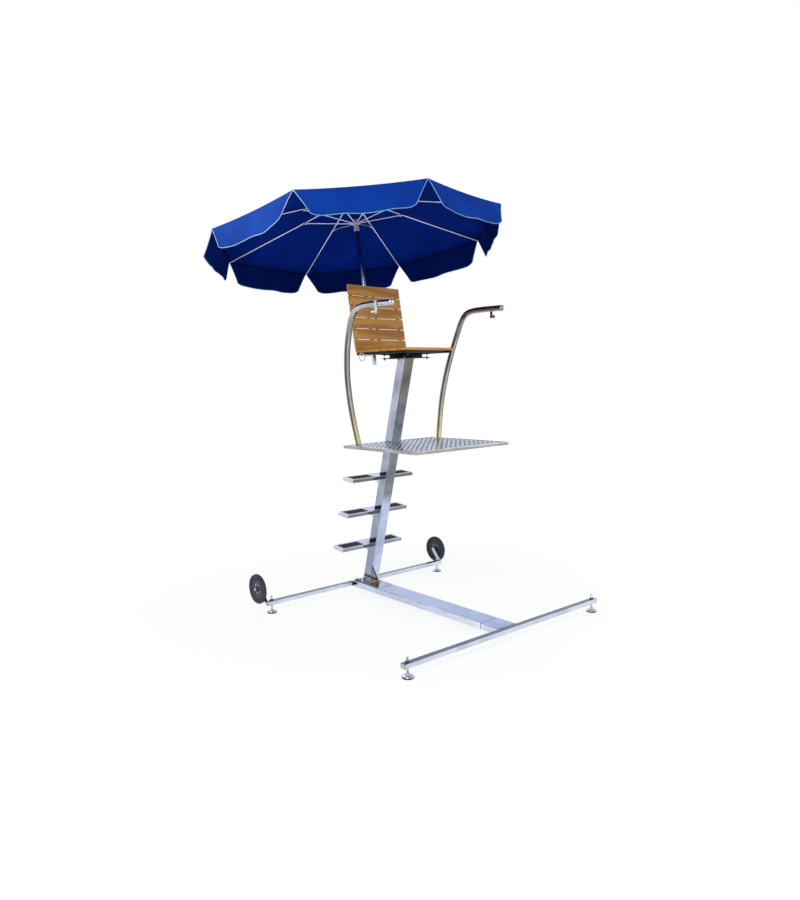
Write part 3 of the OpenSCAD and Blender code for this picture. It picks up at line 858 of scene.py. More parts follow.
@dataclass(frozen=True)
class Cloth:
    """Woven awning cloth: a plain weave, faint creases and a soft sheen."""

    name: str
    dark: Colour
    light: Colour
    sheen: float = 0.1
    rough: float = 0.8
    shine: float = 0.15
    zones: tuple[Zone, ...] = ()

    def make(self) -> bpy.types.Material:
        """Builds the material. The weave is two crossed waves on the cloth's own map, and the
        zones' colours multiply its own."""
        w = Weave(self.name)
        cloth = w.where(source="UV")
        broad = w.noise(w.where(), 3.2, 4)
        threads = [
            w.node(
                "ShaderNodeTexWave",
                {"Vector": cloth, "Scale": 210.0, "Distortion": 0.4},
                bands_direction=way,
            ).outputs["Fac"]
            for way in "XY"
        ]
        weave = w.math("MULTIPLY", threads[0], threads[1])
        crease = w.noise(w.where((1.0, 4.0, 1.0), source="UV"), 6, 3, 0.5)
        colour = w.ramp(broad, [(0.3, self.dark), (0.7, self.light)])
        colour = w.shaded(colour, weave, (0.86, 1.0), 0.7, (0.0, 0.8))
        if self.zones:
            colour = w.mix(colour, w.zoned((1.0, 1.0, 1.0), self.zones), 1.0, "MULTIPLY")
        height = w.math("ADD", w.math("MULTIPLY", weave, 0.12), crease)
        return w.finish(
            {"Base Color": colour, "Normal": w.bump(height, 0.35, 0.004)},
            {
                "Roughness": self.rough,
                "Sheen Weight": self.sheen,
                "Sheen Roughness": 0.4,
                "Specular IOR Level": self.shine,
            },
        )


class Finishes:
    """All the materials of the chair, made once."""

    def __init__(self) -> None:
        """Builds every finish."""
        # Masks by face direction, height and place. Most zones laid on with them below are painted
        # reflections, highlights and shade, not colours of the steel.
        front, top, under = ("ny", -0.3, -0.75), ("nz", 0.35, 0.8), ("nz", -0.3, -0.8)
        left, edge_on = ("nx", -0.4, -0.8), ("nx", -0.12, 0.02)
        # low marks the lower part of the rails, where a warm reflection is painted; rising marks
        # the rails below their top bends.
        rising, low = ("z", 2.36, 2.26), ("z", 1.8, 1.52)
        # shady marks a dark reflection band painted down the rail tubes; shining marks a highlight
        # band painted beside it.
        shady = (("nx", -0.66, -0.86), ("ny", -0.05, -0.28), rising)
        shining = (("nx", -0.68, -0.54), ("nx", -0.12, -0.3), ("ny", 0.0, -0.3), rising)
        # ankle marks the foot of the mast's front face, where a gusset's light and shade are
        # painted.
        ankle = (front, ("z", 0.42, 0.4))
        self.bar_x = Steel(
            "steel_bars_across",
            (0.7, 0.74, 0.86),
            (
                # Painted reflection: the tops of the bars across are much darker than their fronts.
                Zone((0.17, 0.18, 0.24), (top,)),
                # Painted reflection: a lighter blue on the top of the front crossbar's stub.
                Zone((0.46, 0.52, 0.74), (top, ("y", -1.376, -1.374), ("y", -1.0, -1.1))),
                Zone(
                    (0.04, 0.05, 0.08), (("y", 0.3, 0.32), ("x", -0.036, -0.03), ("x", 0.06, 0.04))
                ),
            ),
            grain=(0.04, 1, 1),
        ).make()
        self.bar_y = Steel(
            "steel_bars_along",
            (0.6, 0.66, 0.82),
            (
                # Painted reflection: the tops take a darker blue than the sides.
                Zone((0.46, 0.52, 0.74), (top,)),
                # Painted light: the beam's left side is lighter towards its front.
                Zone((0.86, 0.92, 1.0), (left, ("y", -0.6, -1.2))),
            ),
            grain=(1, 0.04, 1),
        ).make()
        self.foot_plate = Steel(
            "steel_foot_plate",
            (0.2, 0.2, 0.22),
            (
                # Painted light: the front faces are lighter. The top's golden tone, and the grey,
                # dark and pale blue patches laid over it by place, are painted reflections.
                Zone((0.36, 0.4, 0.46), (front,)),
                Zone((0.32, 0.26, 0.155), (top,)),
                Zone((0.4, 0.43, 0.38), (top, ("y", 0.3, 0.32))),
                Zone((0.05, 0.05, 0.06), (top, ("y", 0.135, 0.1))),
                Zone((0.04, 0.035, 0.035), (top, ("xy", -0.085, -0.07))),
                Zone((0.46, 0.52, 0.72), (top, ("xy", -0.05, -0.038))),
            ),
            cloud=0.3,
        ).make()
        self.mast = Steel(
            "steel_mast",
            (0.4, 0.43, 0.54),
            (
                # Painted reflection: the left side is darker low down and lighter high up.
                Zone((0.32, 0.35, 0.47), (left, ("z", 1.2, 0.9))),
                Zone((0.47, 0.48, 0.62), (left, ("z", 1.6, 2.0))),
                # Painted reflection: the front face is a lighter blue than the sides.
                Zone((0.52, 0.6, 0.8), (front,)),
                Zone((0.05, 0.06, 0.16), (left, ("z", 0.196, 0.19), ("z", 0.168, 0.174))),
                # A gusset that has no shape of its own is painted on the front face at the mast's
                # foot: a golden lit half and a dark shaded half, painted light and shade.
                Zone((0.3, 0.26, 0.175), (*ankle, ("zx", 0.368, 0.356))),
                Zone((0.1, 0.095, 0.11), (*ankle, ("zx", 0.368, 0.358), ("zx", 0.322, 0.34))),
                # Painted reflection: the front face darkens in steps towards the top.
                Zone((0.25, 0.27, 0.29), (front, ("z", 0.86, 0.95))),
                Zone((0.25, 0.24, 0.22), (front, ("z", 1.38, 1.44))),
                Zone((0.175, 0.168, 0.152), (front, ("z", 1.6, 1.95))),
            ),
            (0.05, 0.13),
            0.3,
            grain=(1, 1, 0.04),
            turn=(-Mast.lean, 0, 0),
        ).make()
        self.tread = Steel(
            "steel_treads",
            (0.62, 0.65, 0.74),
            (
                # Painted light and shade: the front faces are darker than the tops, darker again on
                # the upper treads, and the undersides are darkest.
                Zone((0.36, 0.37, 0.4), (front,)),
                Zone((0.18, 0.185, 0.19), (front, ("z", 0.55, 1.1))),
                Zone((0.1, 0.1, 0.12), (under,)),
            ),
            grain=(0.04, 1, 1),
        ).make()
        self.rail = Steel(
            "steel_rails",
            (0.27, 0.28, 0.255),
            (
                # Painted reflections on the rail tubes: a warm tone on the lower part, lighter near
                # the top, a highlight on the left rail's top bend, a dark band where the faces turn
                # edge-on, and a dark stripe with a highlight band beside it, each warmer low down.
                Zone((0.6, 0.51, 0.32), (low,)),
                Zone((0.32, 0.3, 0.29), (("z", 2.3, 2.45),)),
                Zone((0.56, 0.56, 0.57), (("z", 2.44, 2.52), ("x", 0.2, 0.0))),
                Zone((0.17, 0.175, 0.155), (edge_on, rising)),
                Zone((0.36, 0.32, 0.2), (edge_on, rising, low)),
                Zone((0.085, 0.085, 0.078), shady),
                Zone((0.15, 0.135, 0.07), (*shady, low)),
                Zone((0.5, 0.51, 0.46), shining),
                Zone((0.74, 0.66, 0.38), (*shining, low)),
            ),
            (0.06, 0.15),
            0.3,
            grain=(1, 1, 0.1),
        ).make()
        self.deck = Steel(
            "steel_deck_rim",
            (0.41, 0.42, 0.4),
            # Painted light and shade: the top is a lighter blue, the underside dark.
            (Zone((0.48, 0.54, 0.58), (top,)), Zone((0.1, 0.1, 0.1), (under,))),
            (0.12, 0.26),
            0.3,
        ).make()
        self.chequer = Steel(
            "steel_chequer_plate",
            (0.42, 0.48, 0.59),
            # Painted shade: the plate darkens towards the right.
            (Zone((0.32, 0.37, 0.46), (("x", 0.0, 0.55),)),),
            (0.16, 0.34),
            0.25,
        ).make()
        self.cast = Steel("steel_fittings", (0.6, 0.61, 0.66), rough=(0.1, 0.25)).make()
        self.bolt = Steel("steel_bolts", (0.2, 0.2, 0.22), rough=(0.15, 0.35), cloud=0.4).make()
        # Painted shade: the hook on the right rail is dark.
        self.hook = Steel(
            "steel_hooks", (0.66, 0.67, 0.7), (Zone((0.1, 0.1, 0.11), (("x", 0.1, 0.3),)),)
        ).make()
        self.weld = Steel("steel_welds", (0.36, 0.35, 0.35), rough=(0.25, 0.45), cloud=0.3).make()
        self.shade_metal = Steel(
            "metal_umbrella_frame", (0.8, 0.84, 1.0), rough=(0.28, 0.42)
        ).make()
        self.pole = Steel(
            "metal_pole",
            (0.5, 0.54, 0.54),
            # Painted reflection and shade: the pole is blue where it stands under the canopy.
            (Zone((0.1, 0.2, 0.55), (("z", 2.75, 2.95),)),),
            (0.12, 0.25),
        ).make()
        self.black = Paint(
            "black_swivel", (0.005, 0.005, 0.006), (0.013, 0.013, 0.015), (0.4, 0.6), shine=0.12
        ).make()
        self.dark_frame = Paint(
            "black_seat_frame", (0.008, 0.008, 0.01), (0.02, 0.019, 0.02), (0.35, 0.55), shine=0.25
        ).make()
        self.grip = Paint(
            "grip_pads", (0.008, 0.009, 0.012), (0.02, 0.022, 0.028), (0.75, 0.95), 420, 0.0008
        ).make()
        self.rubber = Paint(
            "foot_rubber", (0.01, 0.01, 0.012), (0.022, 0.022, 0.024), (0.6, 0.8)
        ).make()
        self.tyre = Paint(
            "tyre_rubber", (0.026, 0.028, 0.036), (0.052, 0.055, 0.068), (0.6, 0.85), 260
        ).make()
        self.wheel = Paint(
            "wheel_plastic", (0.024, 0.027, 0.036), (0.045, 0.05, 0.064), (0.4, 0.6)
        ).make()
        self.dish = Paint(
            "wheel_dish", (0.02, 0.03, 0.07), (0.3, 0.38, 0.6), (0.15, 0.3), 60, metal=0.8
        ).make()
        self.gap = Paint("dark_joint", (0.012, 0.015, 0.03), (0.03, 0.035, 0.06), (0.5, 0.7)).make()
        self.knuckle = Paint(
            "white_knuckles", (0.62, 0.63, 0.68), (0.8, 0.8, 0.84), (0.35, 0.5), 120
        ).make()
        self.teak = Teak().make()
        self.cloth_out = Cloth(
            "cloth_blue",
            (0.001, 0.034, 0.3),
            (0.0018, 0.058, 0.42),
            0.0,
            0.85,
            0.1,
            # Painted light: the flap numbered 4 is made brighter and warmer than the others.
            (Zone((12.0, 1.8, 1.36), (("u", 3.5, 3.54), ("u", 4.5, 4.46))),),
        ).make()
        # The inside of the canopy is darker than the outside, partly painted shade. Painted shade:
        # it darkens further towards the rim.
        self.cloth_in = Cloth(
            "cloth_inside_partly_painted_shade",
            (0.0004, 0.014, 0.18),
            (0.0008, 0.023, 0.28),
            0.0,
            0.95,
            0.02,
            (Zone((0.78, 0.72, 0.76), (("r", 1.02, 1.2),)),),
        ).make()
        # Painted shade: the insides of the flaps are a darker copy of the canopy's inside.
        self.flap_in = Cloth(
            "cloth_flap_inside_painted_shade", (0.0006, 0.011, 0.115), (0.001, 0.018, 0.18), 0.0, 0.95, 0.02
        ).make()
        self.piping = Cloth(
            "cloth_piping",
            (0.18, 0.38, 0.72),
            (0.28, 0.52, 0.86),
            0.1,
            # Painted highlight: the piping is lighter on the flaps at the left front.
            zones=(Zone((2.4, 1.7, 1.3), (("x", -1.0, -1.08), ("y", 0.62, 0.5))),),
        ).make()


# ---------------------------------------------------------------- sub-assemblies


@dataclass
class Base:
    """Base bars, their joints, the mast's foot and the wheel arms."""

    finishes: Finishes
    bar_w: float = 0.05
    bar_h: float = 0.036
    bar_low: float = 0.072
    cap_t: float = 0.0024
    bolt_in: float = 0.012
    bolt_flats: float = 0.017
    bolt_h: float = 0.008
    washer: float = 0.0118

    def build(self) -> None:
        """Builds and dresses the base."""
        f = self.finishes
        dress(["front_crossbar", "rear_bar_left", "rear_bar_right"], f.bar_x)
        dress(["base_beam"], f.bar_y)
        dress(["splice_sleeves"], f.gap)
        dress(["mast_foot_plate"], f.foot_plate)
        dress(["wheel_arms"], f.cast)
        self.end_caps()
        self.plate_bolts()
        self.welds()

    def end_caps(self) -> None:
        """Closes the bar ends with welded caps, domed by their rounded edges.

        The front crossbar's box takes in its stub, so its middle is found from its front.
        """
        f = self.finishes
        piece = Piece("bar_end_caps", "frame", "stainless", [f.cast, f.bolt])
        ends = (("front_crossbar", -1), ("front_crossbar", 1), ("rear_bar_left", -1))
        for node, way in (*ends, ("rear_bar_right", 1)):
            low, high = corners_of(node)
            front = node == "front_crossbar"
            y = low[1] + self.bar_w / 2 if front else (low[1] + high[1]) / 2
            x = (high if way > 0 else low)[0] - way * 0.0002
            place = Place(np.array([x, y, (self.bar_low + high[2]) / 2]), facing(way))
            for inset, thick, finish in ((0.0008, 0.001, 1), (0.0048, self.cap_t, 0)):
                outline = rounded(self.bar_w - inset, self.bar_h - inset, 0.0045, 6)
                piece.add(prism(outline, place, thick, thick * 0.45, finish))
        piece.build()

    def plate_bolts(self) -> None:
        """Sets the four bolts behind the mast, each turned a little differently."""
        low, high = corners_of("mast_foot_bolts")
        finishes = [self.finishes.bolt]
        piece = Piece("foot_plate_bolts", "frame", "stainless", finishes, ["mast_foot_bolts"])
        for x in (low[0] + self.bolt_in, high[0] - self.bolt_in):
            for y in (low[1] + self.bolt_in, high[1] - self.bolt_in):
                spot = Place(np.array([x, y, low[2]]), turned(17 * x + 90 * y, "z"))
                piece.add(*nut(spot, self.bolt_flats, self.bolt_h, self.washer))
        piece.build()

    def welds(self) -> None:
        """Runs weld beads round the mast's foot and the stub."""
        piece = Piece("base_welds", "frame", "stainless", [self.finishes.weld])
        plate_low, _ = corners_of("mast_foot_plate")
        piece.add(Mast.collar(plate_low[2] + 0.01, 0.003))
        beam_low, beam_high = corners_of("base_beam")
        y = corners_of("front_crossbar")[0][1] + self.bar_w + 0.0002
        x0, x1 = beam_low[0] - 0.001, beam_high[0] + 0.001
        z0, z1 = self.bar_low + 0.002, beam_high[2]
        seam = np.array([[x0, y, z0], [x0, y, z1], [x1, y, z1], [x1, y, z0]])
        piece.add(bead(seam, (0, 1, 0), closed=False))
        piece.build(60)


@dataclass
class Foot:
    """One levelling foot: a domed disc on rubber with a threaded stud through the bar."""

    finishes: Finishes
    end: str
    disc: float = 0.04
    pitch: float = 0.0025
    stud: float = 0.008

    def build(self) -> None:
        """Builds the disc, stud, rubber and nut of the foot."""
        node, rubber = f"foot_{self.end}", f"pad_{self.end}"
        low, high = corners_of(node)
        centre = np.array([(low[0] + high[0]) / 2, (low[1] + high[1]) / 2, 0])
        base, top = low[2], high[2]
        a = np.linspace(0, math.pi / 2, 10)
        dome = np.stack([0.0185 + 0.0205 * np.cos(a), base + 0.0045 + 0.0095 * np.sin(a)], -1)
        turns = np.arange(base + 0.028, top - 0.002, self.pitch / 2)
        thread = np.stack([self.stud - 0.0006 * (np.arange(len(turns)) % 2), turns], -1)
        profile = np.vstack(
            [
                [[0, base], [self.disc, base], [self.disc, base + 0.003], [0.0393, base + 0.0042]],
                dome,
                [[0.0155, base + 0.0165], [0.015, base + 0.0185], [0.015, base + 0.0245]],
                [[0.0142, base + 0.026], [self.stud, base + 0.0262]],
                thread,
                [[self.stud - 0.0018, top - 0.0002], [0.003, top], [0, top]],
            ]
        )
        piece = Piece(node + "_metal", node, "stainless", [self.finishes.cast], [node])
        piece.add(revolve(profile, centre, (0, 0, 1), 40)).build()
        edge = self.disc + 0.001
        sole = [(0, 0), (0.036, 0), (0.038, 0.0008), (edge, 0.003), (edge, 0.0042)]
        sole += [
            (edge - 0.0012, 0.0047), (edge, 0.0052), (edge, base + 0.0036),
            (edge - 0.0004, base + 0.0042),
        ]
        sole += [(self.disc + 0.0001, base + 0.0042), (self.disc + 0.0001, base), (0, base)]
        pad = Piece(rubber + "_rubber", node, "foot_rubber", [self.finishes.rubber], [rubber])
        pad.add(revolve(sole, centre, (0, 0, 1), 48)).build()


@dataclass
class FootNuts:
    """Lock nuts and washers where the studs pass through the bars."""

    finishes: Finishes
    flats: float = 0.026
    height: float = 0.011
    bore: float = 0.0082
    washer: float = 0.0165

    def ring(self, place: Array, base: float) -> list[Shell]:
        """A nut with a round bore on a washer.

        The hexagon is a profile about the stud whose outer radius follows a six-sided
        figure, flats / 2 / cos of the angle to the nearest flat's middle.

        Args:
            place: Point on the stud's axis.
            base: Height that it stands on.

        Returns:
            The shells.
        """
        steps = 48
        a = np.arange(steps) * TAU / steps
        hexagon = self.flats / 2 / np.cos((a + math.pi / 6) % (math.pi / 3) - math.pi / 6)
        bore = np.full(steps, self.bore)
        top = self.height
        z = np.array([0, 0.0006, top - 0.0014, top, top, 0]) + base + 0.0016
        cut = self.flats / 2 * 0.98
        under, over = np.minimum(hexagon, cut * 1.06), np.minimum(hexagon, cut)
        rows = [under, hexagon, hexagon, over, bore, bore]
        around = circle(steps)
        rings = np.stack([level_loop(place[:2] + r[:, None] * around, h) for r, h in zip(rows, z)])
        flat = [(self.bore, base), (self.washer, base), (self.washer, base + 0.0012)]
        flat += [(self.washer - 0.0004, base + 0.0016), (self.bore, base + 0.0016)]
        return [
            loft(rings, True), revolve(flat, np.array([place[0], place[1], 0]), (0, 0, 1), 36, True)
        ]

    def build(self) -> None:
        """Sets a nut on the bar over each foot."""
        low, _ = corners_of("foot_nuts")
        piece = Piece("stud_nuts", "frame", "stainless", [self.finishes.bolt], ["foot_nuts"])
        for end in FEET:
            a, b = corners_of(f"foot_{end}")
            piece.add(*self.ring((a + b) / 2, low[2]))
        piece.build()


@dataclass
class Wheel:
    """One wheel: a treaded tyre on a closed rim."""

    finishes: Finishes
    side: Side
    spokes: int = 5
    blocks: int = 44
    steps: int = 264

    def build(self) -> None:
        """Builds the tyre and the rim."""
        low, high = corners_of(self.side.on("tyre"))
        self.centre = (low + high) / 2
        self.radius, self.width = (high[2] - low[2]) / 2, high[0] - low[0]
        self.tyre()
        self.rim()

    def tyre(self) -> None:
        """Builds the tyre.

        Round the cross-section an angle b runs from the tread's middle. The skin is a
        superellipse of that angle, drawn in at two round grooves, at bars across the tread
        that alternate from side to side, and raised by two thin rings on each wall.
        """
        w, bead_r = self.width / 2, 0.089
        b = np.linspace(-2.62, 2.62, 90)
        height = self.radius - bead_r
        c, s = np.cos(b), np.sin(b)
        x = w * np.sign(s) * np.abs(s) ** 0.8
        r = bead_r + height / 2 * (1 + np.sign(c) * np.abs(c) ** 0.85)
        tread = np.clip((c - 0.45) * 4, 0, 1)
        groove = sum(np.exp(-(((x - g) / 0.0017) ** 2)) for g in (-0.0075, 0.0075))
        wall = sum(np.exp(-(((r - g) / 0.0011) ** 2)) for g in (0.097, 0.108))
        a = np.arange(self.steps) * TAU / self.steps
        wave = np.sin(a[:, None] * self.blocks + np.sign(x) * math.pi / 2)
        bars = np.clip(wave * 3 - 1.6, 0, 1) * np.clip((np.abs(x) - 0.009) / 0.003, 0, 1)
        reach = r - 0.0022 * tread * np.clip(groove + bars, 0, 1)
        out = x + 0.0007 * np.sign(x) * wall
        rings = np.stack(
            [
                np.broadcast_to(out, reach.shape), reach * np.cos(a)[:, None],
                reach * np.sin(a)[:, None],
            ],
            -1,
        )
        body, node = self.side.on("wheel"), self.side.on("tyre")
        piece = Piece(f"{body}_tyre", body, "tyre_rubber", [self.finishes.tyre], [node])
        piece.add(loft(self.centre + rings, True)).build(50)

    def rim(self) -> None:
        """Builds the closed rim with a dish and shallow ribs on both faces, and its hub."""
        body, node, w = self.side.on("wheel"), self.side.on("rim"), self.width / 2
        f = self.finishes
        piece = Piece(f"{body}_rim", body, "wheel_plastic", [f.wheel, f.dish], [node])
        half = [(0.0885, w - 0.006), (0.086, w - 0.0045), (0.083, w - 0.006), (0.0815, w - 0.0095)]
        half += [
            (0.079, w - 0.0095), (0.0562, w - 0.0095), (0.0545, w - 0.0105), (0.0532, 0.006),
            (0.051, 0.005),
        ]
        half += [
            (0.024, 0.005), (0.0215, 0.008), (0.0205, w - 0.004), (0.0175, w - 0.002),
            (0.0081, w - 0.002),
        ]
        loop = half + [(r, -x) for r, x in reversed(half)]
        piece.add(revolve(loop, self.centre, (1, 0, 0), 96, True))
        t = np.linspace(0, 1, 9)
        outline = rounded(2, 2, 0.7, 3)
        for k in range(self.spokes):
            angle = (k + 0.25) * TAU / self.spokes
            out = np.array([0, math.cos(angle), math.sin(angle)])
            over = np.array([0, -math.sin(angle), math.cos(angle)])
            wide = (0.0058 + 0.004 * (2 * t - 1) ** 2)[:, None, None]
            rings = (
                (self.centre + out * (0.019 + 0.035 * t[:, None]))[:, None]
                + outline[None, :, :1] * wide * over
                + outline[None, :, 1:] * 0.0085 * np.array([1.0, 0, 0])
            )
            piece.add(loft(rings))
        for s in (-1, 1):
            bowl = [(0.0245, 0.0052), (0.0505, 0.0052), (0.0505, 0.0062), (0.0245, 0.0062)]
            piece.add(revolve(bowl, self.centre, (s, 0, 0), 64, True, 1))
        piece.build(40)


@dataclass
class AxleBolts:
    """Axle bolts, their nuts and the arm bolts."""

    finishes: Finishes
    axle: float = 0.008
    arm_t: float = 0.008

    def build(self) -> None:
        """Builds the bolts on both sides."""
        piece = Piece("wheel_bolts", "frame", "stainless", [self.finishes.cast], ["axle_bolts"])
        bolts, arms = corners_of("axle_bolts"), corners_of("wheel_arms")
        bar = sum(corners_of("rear_bar_left"))[1:] / 2
        r = self.axle
        spacer = [(r, 0), (0.013, 0), (0.013, 0.0024), (0.0124, 0.003), (r, 0.003)]
        for side in Side:
            s, axes = side.value, facing(side.value)
            tyre = corners_of(side.on("tyre"))
            hub = sum(tyre)[1:] / 2
            face = side.outer(arms)
            arm = face - s * self.arm_t
            reach = abs(side.outer(bolts) - arm)
            shank = [(0, 0), (r, 0), (r, reach - 0.0018), (r - 0.0012, reach), (0, reach)]
            piece.add(revolve(shank, np.array([arm, *hub]), (s, 0, 0), 28))
            piece.add(revolve(spacer, np.array([face, *hub]), (s, 0, 0), 32, True))
            outer = Place(np.array([side.outer(tyre) + s * 0.0005, *hub]), axes)
            inner = Place(np.array([arm, *hub]), -axes)
            foot = Place(np.array([face, *bar]), axes)
            piece.add(*nut(outer, 0.0205, 0.0058, 0.0125, False))
            piece.add(*nut(inner, 0.022, 0.007, 0.0135))
            piece.add(*nut(foot, 0.0165, 0.0035, 0.0105))
        piece.build()


@dataclass
class Mast:
    """Leaning mast with its collar welds."""

    finishes: Finishes
    lean = 15.87
    depth = 0.098
    width = 0.1

    @staticmethod
    def half() -> float:
        """Half of a level cut through the mast, from front to back."""
        return Mast.depth / 2 / math.cos(math.radians(Mast.lean))

    @staticmethod
    def centre_at(height: float) -> Array:
        """Point on the mast's centre line at a height: it runs straight from the middle of
        its foot to the swivel's axis."""
        low, high = corners_of("mast")
        drop = math.tan(math.radians(Mast.lean)) * (high[2] - height)
        return np.array([(low[0] + high[0]) / 2, low[1] + Mast.half() + drop, height])

    @staticmethod
    def collar(height: float, thick: float) -> Shell:
        """Weld bead of a radius round the mast at a height."""
        outline = rounded(Mast.width, 2 * Mast.half(), 0.007, 3)
        loop = level_loop(outline + Mast.centre_at(height)[:2], height)
        return bead(loop, (0, 0, 1), thick)

    def build(self) -> None:
        """Dresses the mast and welds it to the swivel."""
        dress(["mast"], self.finishes.mast)
        piece = Piece("mast_welds", "frame", "stainless", [self.finishes.weld])
        piece.add(self.collar(corners_of("mast")[1][2] - 0.001, 0.0025))
        piece.build(60)


@dataclass
class Treads:
    """Three treads with ribbed grip pads let into their tops."""

    finishes: Finishes
    depth: float = 0.152
    tilt: float = 5.0
    half: float = 0.335
    rim: float = 0.022
    inner: float = 0.092
    pitch: float = 0.0125

    def frames(self) -> list[tuple[str, Place]]:
        """The frame of each tread, at the middle of its front edge, on its top face."""
        made = []
        for node in ("tread_lower", "tread_middle", "tread_upper"):
            low, high = corners_of(node)
            z = high[2] - self.depth * math.sin(math.radians(self.tilt))
            spot = np.array([(low[0] + high[0]) / 2, low[1], z])
            made.append((node, Place(spot, turned(self.tilt, "x"))))
        return made

    def studs(self, centre: Array, wide: float, deep: float) -> Shell:
        """A field of small round studs, each a low cone of eight sides with a flat top.

        Args:
            centre: Middle of the pad in the tread's frame, at its top.
            wide: Width of the field.
            deep: Depth of the field.

        Returns:
            The studs as one shell in the tread's frame.
        """
        sides = 8
        n, m = int(wide / self.pitch), int(deep / self.pitch)
        columns, rows = np.arange(n) - (n - 1) / 2, np.arange(m) - (m - 1) / 2
        gx, gy = np.meshgrid(columns, rows, indexing="ij")
        spots = level_loop(np.stack([gx.ravel(), gy.ravel()], -1) * self.pitch, 0)
        rings = [(0.0042, -0.0004), (0.0042, 0.0002), (0.0029, 0.0009)]
        stud = np.concatenate([level_loop(circle(sides) * r, z) for r, z in rings])
        points = spots[:, None] + stud + centre
        base = np.arange(2 * sides).reshape(2, sides)
        beside = np.roll(base, -1, 1)
        wall = np.stack([base, beside, beside + sides, base + sides], -1).reshape(-1, 4)
        start = (np.arange(len(spots)) * len(stud))[:, None]
        quads = (wall[None] + start[..., None]).reshape(-1, 4)
        top = np.arange(2 * sides, 3 * sides) + start
        foot = np.arange(sides - 1, -1, -1) + start
        return Shell(points.reshape(-1, 3), [quads, top, foot])

    def build(self) -> None:
        """Dresses the trays and builds the pads and end plates."""
        f = self.finishes
        pads = Piece("tread_grip_pads", "frame", "grip_pad", [f.grip], ["tread_pads"])
        plates = Piece("tread_end_plates", "frame", "stainless", [f.tread])
        welds = Piece("tread_welds", "frame", "stainless", [f.weld])
        for node, place in self.frames():
            dress([node], f.tread)
            outer = self.half - self.rim
            wide, deep = outer - self.inner, self.depth - 2 * self.rim
            for side in Side:
                s = side.value
                middle = np.array([s * (outer + self.inner) / 2, self.depth / 2, -0.009])
                outline = rounded(wide - 0.0008, deep - 0.0008, 0.0046)
                pads.add(prism(outline, place.step(middle), 0.0082, 0.0006))
                field = self.studs(middle + [0, 0, 0.0082], wide - 0.012, deep - 0.01)
                field.points = place.put(field.points)
                pads.add(field)
                spot = (s * (self.half - 0.0004), self.depth / 2, -0.0155)
                end = place.step(spot, facing(s))
                plates.add(prism(rounded(self.depth - 0.003, 0.033, 0.004), end, 0.0024, 0.0008))
                reach = s * (Mast.width / 2 + 0.0005)
                line = place.put([[reach, 0.004, -0.001], [reach, 0.026, -0.001]])
                welds.add(bead(line, (0, 0, 1), 0.0018, False))
        pads.build()
        plates.build()
        welds.build(60)


